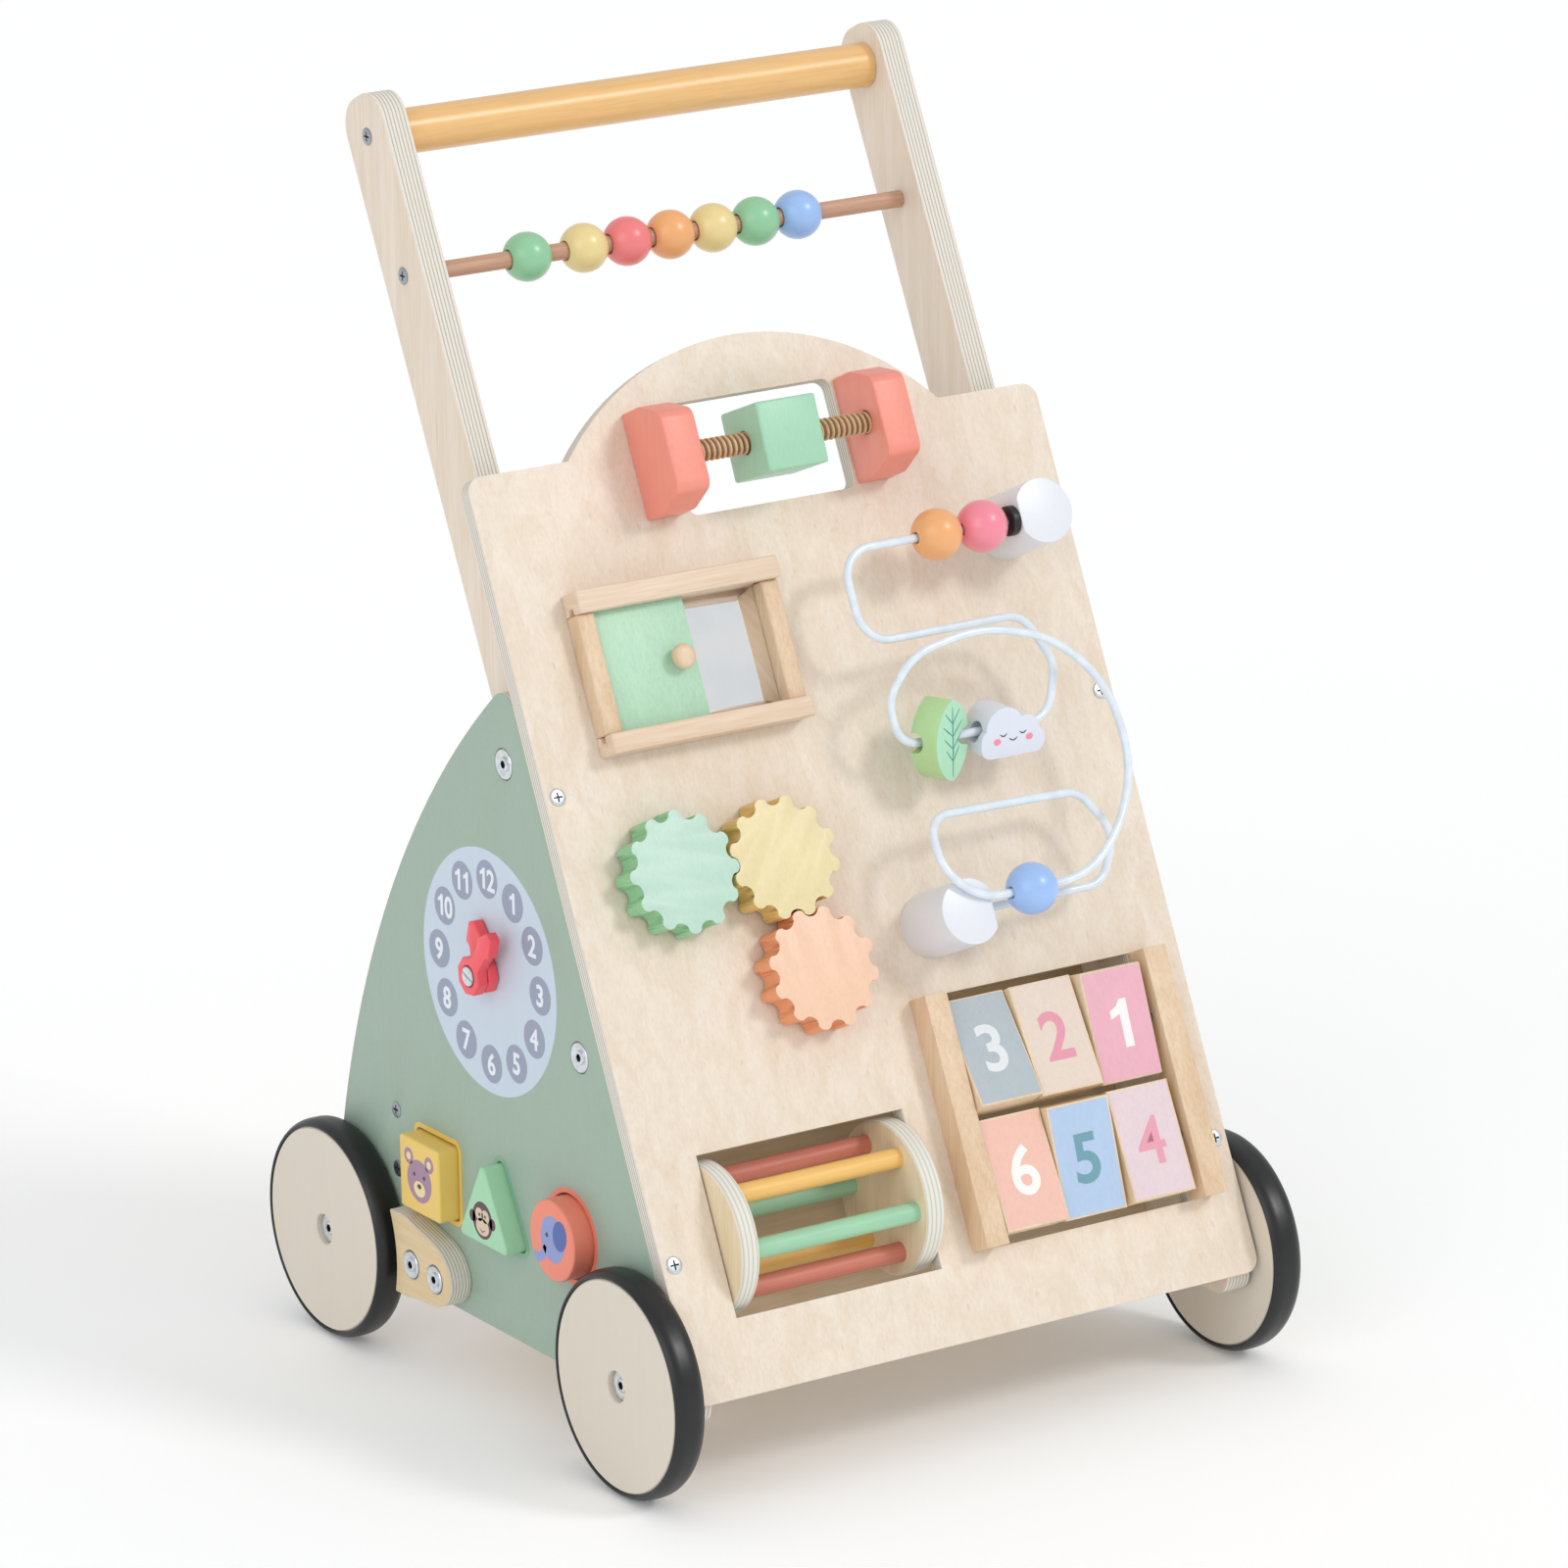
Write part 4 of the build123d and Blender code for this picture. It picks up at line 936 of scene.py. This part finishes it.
def thread_wood():
    """Bare beech with painted shade in the thread roots, darker towards the axis."""
    finish = Finish("thread wood")
    colour, streaks = veneer_colour(finish, "x", "#e3c39d", "#c99f72", False)
    axis = joint_place("thread_turn")
    _, y, z = finish.split(finish.place)
    a, b = y - axis.y, z - axis.z
    radius = (a * a + b * b).root() / MM
    # Painted shade: the thread roots near the axis take a dark brown.
    colour = finish.blend(radius.soft(3.5, 4.4), paint("#7d5836"), colour)
    finish.feed("Base Color", colour)
    finish.feed("Roughness", streaks * 0.2 + 0.5)
    finish.bump(streaks, 0.00006, 0.5)
    return finish.material


THREAD_PITCH = 2.5
THREAD_DEPTH = 0.95
NUT_HOLE = 4.75


def threaded_rod():
    """A wooden rod with a coarse rounded thread, from one seat to the other."""
    low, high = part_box("threaded_rod")
    pitch = THREAD_PITCH
    crest = (high.z - low.z) / 2 / MM
    root = crest - THREAD_DEPTH
    turns = int((high.x - low.x) / MM / pitch)
    start = -turns * pitch / 2
    shape = [(0.0, root), (0.22, root + 0.15), (0.42, crest - 0.1), (0.55, crest)]
    shape += [(0.7, crest - 0.12), (0.88, root + 0.1), (1.0, root)]
    bm = bmesh.new()
    verts = [bm.verts.new((radius * MM, 0, (start + share * pitch) * MM)) for share, radius in shape]
    edges = [bm.edges.new(pair) for pair in zip(verts, verts[1:])]
    steps_per_turn = 28
    steps = steps_per_turn * (turns - 1)
    rise = (0, 0, pitch * MM / steps_per_turn)
    options = {"angle": 2 * math.pi * (turns - 1), "steps": steps, "use_merge": False}
    bmesh.ops.spin(bm, geom=verts + edges, cent=(0, 0, 0), axis=(0, 0, 1), dvec=rise, **options)
    bmesh.ops.remove_doubles(bm, verts=bm.verts, dist=0.00002)
    bmesh.ops.holes_fill(bm, edges=[e for e in bm.edges if e.is_boundary], sides=0)
    made = piece("thread", bm, along(middle("threaded_rod"), ACROSS))
    return fit(made, thread_wood(), "threaded_rod", "beech", "threaded_rod")


threaded_rod()


def nut_cube():
    """The cube that travels along the thread, with eased edges and a round hole."""
    out = front_direction("nut_cube")
    up = out.cross(ACROSS)
    low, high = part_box("nut_cube")
    half = (high.x - low.x) / 2 / MM
    solid = bmesh.new()
    slab(solid, oblong(half, half), -half, half)
    ease(solid, 1.1 * MM, 3)
    hole = turned([(0, -half - 1), (NUT_HOLE, -half - 1), (NUT_HOLE, half + 1), (0, half + 1)], 48)
    place = axes(middle("nut_cube"), up, out, ACROSS)
    made = piece("travelling_cube", carved(solid, hole), place)
    return fit(made, MINT, "nut_cube", "mint_paint", "nut_cube")


nut_cube()


# ---------------------------------------------------------------- door frame, mirror and door
DOOR_HALF = 23.7
LOWER_RAIL, UPPER_RAIL, STILE = 8.0, 8.8, 7.9
RAIL_RISE, STILE_RISE = 12, 8.4
GROOVE = (2.7, 6.3, 2.6)


def stick(name, u_span, v_span, rise, material, groove_side=0):
    """A straight piece of wood on the panel, with a groove for the door in one edge or none."""
    low_v, high_v = v_span
    outline = [(low_v, 0), (high_v, 0), (high_v, rise), (low_v, rise)]
    g_low, g_high, deep = GROOVE
    if groove_side > 0:
        outline[2:2] = [(high_v, g_low), (high_v - deep, g_low), (high_v - deep, g_high), (high_v, g_high)]
    if groove_side < 0:
        outline[4:4] = [(low_v, g_high), (low_v + deep, g_high), (low_v + deep, g_low), (low_v, g_low)]
    bm = bmesh.new()
    slab(bm, outline, u_span[0], u_span[1])
    ease(bm, 0.8 * MM, 3)
    return fit(piece(name, bm, axes(PANEL_FOOT, UP_SLOPE, OUT, ACROSS)), material, "frame", "beech")


u_left, u_right = (corner.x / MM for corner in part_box("door_frame"))
mirror_v = panel_uvn(middle("mirror"))[1]
door_foot, door_head = mirror_v - DOOR_HALF, mirror_v + DOOR_HALF
made = stick("door_rail_lower", (u_left, u_right), (door_foot - LOWER_RAIL, door_foot), RAIL_RISE, BEECH, 1)
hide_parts("door_frame")
stick("door_rail_upper", (u_left, u_right), (door_head, door_head + UPPER_RAIL), RAIL_RISE, BEECH, -1)
stick("door_stile_left", (u_left, u_left + STILE), (door_foot, door_head), STILE_RISE, BEECH_UP)
stick("door_stile_right", (u_right - STILE, u_right), (door_foot, door_head), STILE_RISE, BEECH_UP)
softened("mirror", 0.2, MIRROR, "mirror_sheet", segments=2)
DOOR_MINT = painted("door mint paint", "#b3dabd", way="slope", rough=0.45, grainy=0.85)
softened("sliding_door", 0.5, DOOR_MINT, "mint_paint", "door")
DOOR_FACE = 6.0
knob_u, knob_v = panel_uvn(middle("door_knob"))[:2]
knob_profile = [(0, 0), (2.6, 0), (2.4, 0.8), (2.6, 1.7), (3.6, 2.2), (4.6, 3.0), (5.0, 4.2)]
knob_profile += [(4.9, 5.2), (4.4, 6.1), (3.5, 6.7), (2.0, 7.0), (0, 7.05)]
made = lathe("knob", knob_profile, panel_frame(knob_u, knob_v, DOOR_FACE), 48)
fit(made, BEECH_UP, "door", "beech", "door_knob")

# ---------------------------------------------------------------- gears
GEAR_FACE = 13.0
for colour, face_code, side_code, slot in (
    ("green", "#bbdac9", "#92cb9a", "mint_paint"),
    ("yellow", "#e7d7a6", "#e1bc6e", "yellow_paint"),
    ("orange", "#f1c8ab", "#ee9d6e", "orange_paint"),
):
    material = painted(f"{colour} gear paint", face_code, side_code, "slope", 0.45, 0.6, front_of(GEAR_FACE))
    softened(f"gear_{colour}", 0.7, material, slot, f"gear_{colour}")


# ---------------------------------------------------------------- drum
def drum_ply():
    """Drum discs: veneer on the faces and layers on the rim."""
    finish = Finish("drum plywood", Coat_Weight=0.06, Coat_Roughness=0.35)
    colour, streaks = veneer_colour(finish, "slope", "#f0e2c6", "#e2cda4")
    across, depth, rise = finish.split(finish.turned((LEAN, 0, 0)))
    axis = joint_place("drum_spin")
    axis_depth = axis.y * math.cos(LEAN) - axis.z * math.sin(LEAN)
    axis_rise = axis.y * math.sin(LEAN) + axis.z * math.cos(LEAN)
    a, b = depth - axis_depth, rise - axis_rise
    rim_mask = (a * a + b * b).root().above((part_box("drum_discs")[1].z - axis.z) - 0.0005)
    stripes = (across / MM * (math.pi / 2.0)).wave().size().soft(0.3, 0.7)
    edge = finish.blend(stripes, paint("#cbc8bc"), paint("#e3e2d8"))
    finish.feed("Base Color", finish.blend(rim_mask, colour, edge))
    finish.feed("Roughness", rim_mask * 0.15 + streaks * 0.12 + 0.42)
    finish.bump(streaks, 0.00006, 0.5)
    return finish.material


DRUM_DISC = 8.0
PIN_COVER = 0.1


def disc_profile(radius, thick):
    """A disc with a blind bore in its outer face, which is at height 0."""
    lip, skin = 0.7, 0.4
    return [
        (0, thick - skin),
        (PIN_BORE, thick - skin),
        (PIN_BORE, 0),
        (radius - lip, 0),
        (radius, lip),
        (radius, thick - lip),
        (radius - lip, thick),
        (0, thick),
    ]


drum_low, drum_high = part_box("drum_discs")
drum_axis = joint_place("drum_spin")
drum_radius = (drum_high.z - drum_low.z) / 2 / MM
DRUM = drum_ply()
for index, (start, inward) in enumerate(((drum_low.x, ACROSS), (drum_high.x, -ACROSS))):
    place = along(Vector((start, drum_axis.y, drum_axis.z)), inward)
    made = lathe(f"drum_disc_{index}", disc_profile(drum_radius, DRUM_DISC + PIN_COVER), place, 96)
    fit(made, DRUM, "drum", "birch_ply", *(["drum_discs"] if index == 0 else []))
DOWEL_COLOURS = (("salmon", "#d67f6c"), ("yellow", "#efc06c"), ("green", "#9ed0ac"))
DOWELS = [
    painted(f"{name} dowel stain", code, way="x", rough=0.5, grainy=0.8) for name, code in DOWEL_COLOURS
]
DOWEL_PHASE, DOWEL_RING, DOWEL_RADIUS, DOWEL_GAP = -7.0, 22.0, 4.0, 0.05
for index in range(6):
    angle = math.radians(DOWEL_PHASE + 60 * index)
    centre = drum_axis + (UP_SLOPE * math.cos(angle) + OUT * math.sin(angle)) * DOWEL_RING * MM
    start = Vector((drum_low.x + DRUM_DISC * MM, centre.y, centre.z))
    length = (drum_high.x - drum_low.x) / MM - 2 * DRUM_DISC
    profile = [(0, DOWEL_GAP), (DOWEL_RADIUS, DOWEL_GAP)]
    profile += [(DOWEL_RADIUS, length - DOWEL_GAP), (0, length - DOWEL_GAP)]
    made = lathe(f"drum_dowel_{index}", profile, along(start, ACROSS), 40)
    fit(made, DOWELS[index % 3], "drum", "dowel_paint", *(["drum_dowels"] if index == 0 else []))

# ---------------------------------------------------------------- number blocks
softened("block_strips", 1.0, BEECH_UP, "beech")
BLOCK_COLOURS = {
    3: ("#adb8be", "#dfe3e5"),
    2: ("#e0cebf", "#e08fa4"),
    1: ("#e9afbe", "#f8f0f2"),
    6: ("#ecbcac", "#faf1ec"),
    5: ("#b2c9e6", "#6d9eac"),
    4: ("#e1cdd3", "#e59cad"),
}
SIDE_WOOD = veneer("block side wood", "z", "#ecd9bd", "#dcc19a")
NUMERAL_HEIGHT = 27.0
BLOCK_HALF_WIDTH, BLOCK_HALF_HEIGHT, BLOCK_HALF_THICK = 14.5, 22.4, 5.85


def number_block(number, ground, ink):
    """A small board with eased edges, a painted front and back and a printed numeral on each."""
    node = f"number_block_{number}"
    out = front_direction(node)
    up = out.cross(ACROSS)
    centre = middle(node)
    softened(node, 0.9, SIDE_WOOD, "block_print", node)
    ground_paint = painted(f"block {number} ground", ground, way="slope", rough=0.5, grainy=0.55)
    ink_paint = painted(f"block {number} ink", ink, way="slope", rough=0.5, grainy=0.4)
    weight = 0.3 if number == 4 else 0.55
    outline = grown(oblong(BLOCK_HALF_WIDTH, BLOCK_HALF_HEIGHT), -0.75, 0.6, 4)
    for face_name, across, facing in (("front", ACROSS, out), ("back", -ACROSS, -out)):
        place = axes(centre + facing * (BLOCK_HALF_THICK - 0.02) * MM, across, up, facing)
        fit(printed(f"block_{number}_{face_name}", [outline], place), ground_paint, node, "block_print")
        above = place @ Matrix.Translation((0, 0, PRINT_DEPTH * MM))
        label = numeral(f"numeral_{number}_{face_name}", str(number), NUMERAL_HEIGHT, above, weight)
        fit(label, ink_paint, node, "block_print")


for block_number, (ground_code, ink_code) in BLOCK_COLOURS.items():
    number_block(block_number, ground_code, ink_code)

# ---------------------------------------------------------------- bead maze
softened("maze_posts", 1.0, WHITE, "white_paint")
fit(piece("bent_wire", merged("maze_wire")), WIRE, "frame", "wire_enamel", "maze_wire")
softened("maze_washer", 0.5, WASHER, "black_washer")

UPRIGHT = Vector((0, 0, 1))
LEAF_TURN = math.radians(25.0)
leaf_across = Vector((math.cos(LEAF_TURN), math.sin(LEAF_TURN), 0))
leaf_out = Vector((math.sin(LEAF_TURN), -math.cos(LEAF_TURN), 0))
LEAF_HALF = 6.0


def leaf_face(finish):
    """Where the leaf shows its flat faces."""
    centre = joint_place("maze_leaf_swing")
    depth = finish.split(finish.turned((0, 0, -LEAF_TURN)))[1]
    middle_depth = centre.y * math.cos(LEAF_TURN) - centre.x * math.sin(LEAF_TURN)
    return (depth - middle_depth).size().above((LEAF_HALF - 0.25) * MM)


LEAF_PAINT = painted("leaf paint", "#aee2bf", "#b5da9c", "z", 0.42, 0.3, leaf_face, 0.2)
softened("maze_leaf", 1.0, LEAF_PAINT, "mint_paint", "maze_leaf")
TEAL = ink("teal ink", "#4b9a94")
leaf_front = joint_place("maze_leaf_swing") + leaf_out * (LEAF_HALF - 0.01) * MM
leaf_place = axes(leaf_front, leaf_across, UPRIGHT, leaf_out)
veins = [ribbon([(0, -14.6), (0.2, -7), (0.2, 0), (0, 7), (0, 13.2)], 0.75)]
for level in (-8.5, -3.5, 1.5, 6.5):
    for side in (-1, 1):
        reach = 7.4 - abs(level) * 0.32
        bend = [(0.2, level), (side * reach * 0.45, level + 2.4), (side * reach, level + 5.2)]
        veins.append(ribbon(bend, 0.6))
fit(printed("leaf_veins", veins, leaf_place, 0, 0.1), TEAL, "maze_leaf", "mint_paint")

CLOUD_PAINT = painted("cloud paint", "#dde2ee", rough=0.35, grainy=0.12, coat=0.25)
softened("maze_cloud", 1.2, CLOUD_PAINT, "white_paint", "maze_cloud")
cloud_front = joint_place("maze_cloud_swing")
cloud_front.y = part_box("maze_cloud")[0].y + 0.01 * MM
cloud_place = axes(cloud_front, ACROSS, UPRIGHT, Vector((0, -1, 0)))
INK = ink("dark ink", "#3a3a44")
ROSE = ink("rose ink", "#f2939f")
sleepy = []
for side in (-1, 1):
    lid = [(side * 4.6 + dx, -0.6 - 0.9 * (1 - (dx / 1.6) ** 2)) for dx in (-1.6, -0.8, 0.0, 0.8, 1.6)]
    sleepy.append(ribbon(lid, 0.5))
smile = [(dx, -2.6 - 1.1 * (1 - (dx / 1.9) ** 2)) for dx in (-1.9, -1.0, 0.0, 1.0, 1.9)]
made = printed("cloud_face", sleepy + [ribbon(smile, 0.5)], cloud_place, 0, 0.1)
fit(made, INK, "maze_cloud", "white_paint")
cheeks = [oval(-7.6, -3.4, 1.7, 1.3), oval(7.6, -3.4, 1.7, 1.3)]
fit(printed("cloud_cheeks", cheeks, cloud_place, 0, 0.1), ROSE, "maze_cloud", "pink_paint")

# ---------------------------------------------------------------- clock
clock = joint_place("hour_hand_turn") / MM
DIAL = ink("dial paint", "#c9d6e4")
DIAL_MARK = ink("dial number discs", "#979fb4", 0.25)
DIAL_INK = ink("dial numerals", "#e9eef5", 0.15)
dial_place = left_frame(-SIDE_OUTER + 0.02, clock.y, clock.z)
DIAL_RADIUS, RING, MARK_RADIUS = 49.4, 37.5, 7.65
DIAL_LAYER = 0.09
made = printed("clock_dial", [oval(0, 0, DIAL_RADIUS, steps=128)], dial_place, 0, DIAL_LAYER)
fit(made, DIAL, "frame", "blue_paint")
hours = []
for hour in range(1, 13):
    angle = math.radians(90 - 30 * hour)
    hours.append((hour, RING * math.cos(angle), RING * math.sin(angle)))
marks = [oval(x, y, MARK_RADIUS, steps=48) for _, x, y in hours]
made = printed("clock_marks", marks, dial_place, 1, DIAL_LAYER)
fit(made, DIAL_MARK, "frame", "blue_paint")
for hour, x, y in hours:
    place = dial_place @ Matrix.Translation((x * MM, y * MM, 2 * DIAL_LAYER * MM))
    fit(numeral(f"clock_{hour}", str(hour), 12.0, place, 0.3), DIAL_INK, "frame", "white_paint")
softened("hour_hand", 0.6, RED, "red_plastic", "hour_hand")
softened("minute_hand", 0.6, RED, "red_plastic", "minute_hand")


def slotted_screw():
    """The slotted head that holds both hands."""
    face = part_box("steel_pins")[0].x / MM
    head = turned([(0, -1.0), (4.02, -1.0), (4.02, -0.3), (3.7, 0.02), (0, 0.05)], 48)
    slot_cutter = bmesh.new()
    slab(slot_cutter, oblong(5, 0.45), -0.7, 1.0)
    place = left_frame(face, clock.y, clock.z) @ Matrix.Rotation(math.radians(-20), 4, "Z")
    fit(piece("clock_screw", carved(head, slot_cutter), place), ZINC, "frame", "zinc")


slotted_screw()

# ---------------------------------------------------------------- shape sorter
HOLE_GAP, RIM_WIDTH = 1.0, 2.0
SQUARE_CORNER, TRIANGLE_CORNER = 1.6, 2.2
TRIANGLE_BASE, TRIANGLE_HEIGHT = 37.2, 34.4


def hole_frame(kind):
    """The frame of a sorter hole on the left side, and half the size of its block."""
    low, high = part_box(f"shape_{kind}")
    centre = (low + high) / 2 / MM
    return left_frame(-SIDE_OUTER + 0.01, centre.y, centre.z), (high - low) / 2 / MM


def hole_outline(kind, half, margin):
    """The outline of a sorter block, grown by a margin."""
    if kind == "circle":
        return oval(0, 0, half.y + margin, steps=64)
    if kind == "square":
        return grown(oblong(half.y, half.y), margin, SQUARE_CORNER + margin)
    foot = -half.z
    corners = [(-TRIANGLE_BASE / 2, foot), (TRIANGLE_BASE / 2, foot), (0, foot + TRIANGLE_HEIGHT)]
    return grown(corners, margin, TRIANGLE_CORNER + margin)


for kind, colour, code, slot in (
    ("square", "yellow", "#efcb69", "yellow_paint"),
    ("triangle", "green", "#a6dab3", "mint_paint"),
    ("circle", "coral", "#f28a72", "coral_paint"),
):
    block_paint = painted(f"{colour} block paint", code, rough=0.4, grainy=0.3)
    softened(f"shape_{kind}", 0.9, block_paint, slot, f"shape_{kind}")

for kind, colour, code, slot in (
    ("square", "yellow", "#e9c45c", "yellow_paint"),
    ("triangle", "green", "#7fb394", "green_paint"),
    ("circle", "coral", "#ee8168", "coral_paint"),
):
    place, half = hole_frame(kind)
    wide = hole_outline(kind, half, HOLE_GAP + RIM_WIDTH)
    made = rim(f"{kind}_rim", wide, hole_outline(kind, half, HOLE_GAP), place)
    fit(made, painted(f"{colour} rim paint", code, rough=0.45, grainy=0.2), "frame", slot)

PLUM = ink("plum ink", "#a5839a", 0.25)
SAND = ink("sand ink", "#f0d9a4")
COCOA = ink("cocoa ink", "#5b3f45", 0.25)
OAT = ink("oat ink", "#dcc6ae")
SLATE = ink("slate blue ink", "#8f9bd0", 0.25)
NAVY = ink("deep blue ink", "#4f66ac", 0.25)


def face_frame(kind):
    low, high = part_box(f"shape_{kind}")
    centre = (low + high) / 2 / MM
    return left_frame(low.x / MM + 0.01, centre.y, centre.z)


def animal(kind, size, layers):
    """Printed head of a simple animal in layers of colour, on a sorter block's outer face."""
    for level, (ink, outlines) in enumerate(layers):
        larger = [[(x * size, y * size) for x, y in outline] for outline in outlines]
        made = printed(f"{kind}_print_{level}", larger, face_frame(kind), level, 0.05)
        fit(made, ink, f"shape_{kind}", "block_print")


animal("square", 1.25, (
    (PLUM, [oval(0, -1, 7.4, 7.0), oval(-6.2, 6.0, 2.7), oval(6.2, 6.0, 2.7)]),
    (SAND, [oval(0, -3.6, 3.4, 2.6), oval(-6.2, 6.0, 1.3), oval(6.2, 6.0, 1.3)]),
    (INK, [oval(0, -2.7, 1.2, 0.8), oval(-3.0, 0.8, 0.65), oval(3.0, 0.8, 0.65)]),
))
animal("triangle", 1.12, (
    (COCOA, [oval(0, -5.2, 6.6, 6.8), oval(-6.6, -5.0, 2.0, 2.2), oval(6.6, -5.0, 2.0, 2.2)]),
    (OAT, [oval(-2.0, -3.4, 2.5, 2.4), oval(2.0, -3.4, 2.5, 2.4), oval(0, -7.6, 4.3, 3.2)]),
    (INK, [
        oval(-1.9, -3.4, 0.6),
        oval(1.9, -3.4, 0.6),
        ribbon([(-1.8, -8.6), (0, -9.4), (1.8, -8.6)], 0.5),
    ]),
))
animal("circle", 1.3, (
    (SLATE, [
        oval(0.5, 0.5, 6.6, 7.2),
        ribbon([(-3.6, -2.5), (-5.2, -6.0), (-8.2, -7.4), (-10.0, -5.8)], 3.2),
    ]),
    (NAVY, [oval(4.6, 2.6, 3.8, 4.8, -12)]),
    (INK, [oval(-2.6, 1.2, 0.7)]),
))
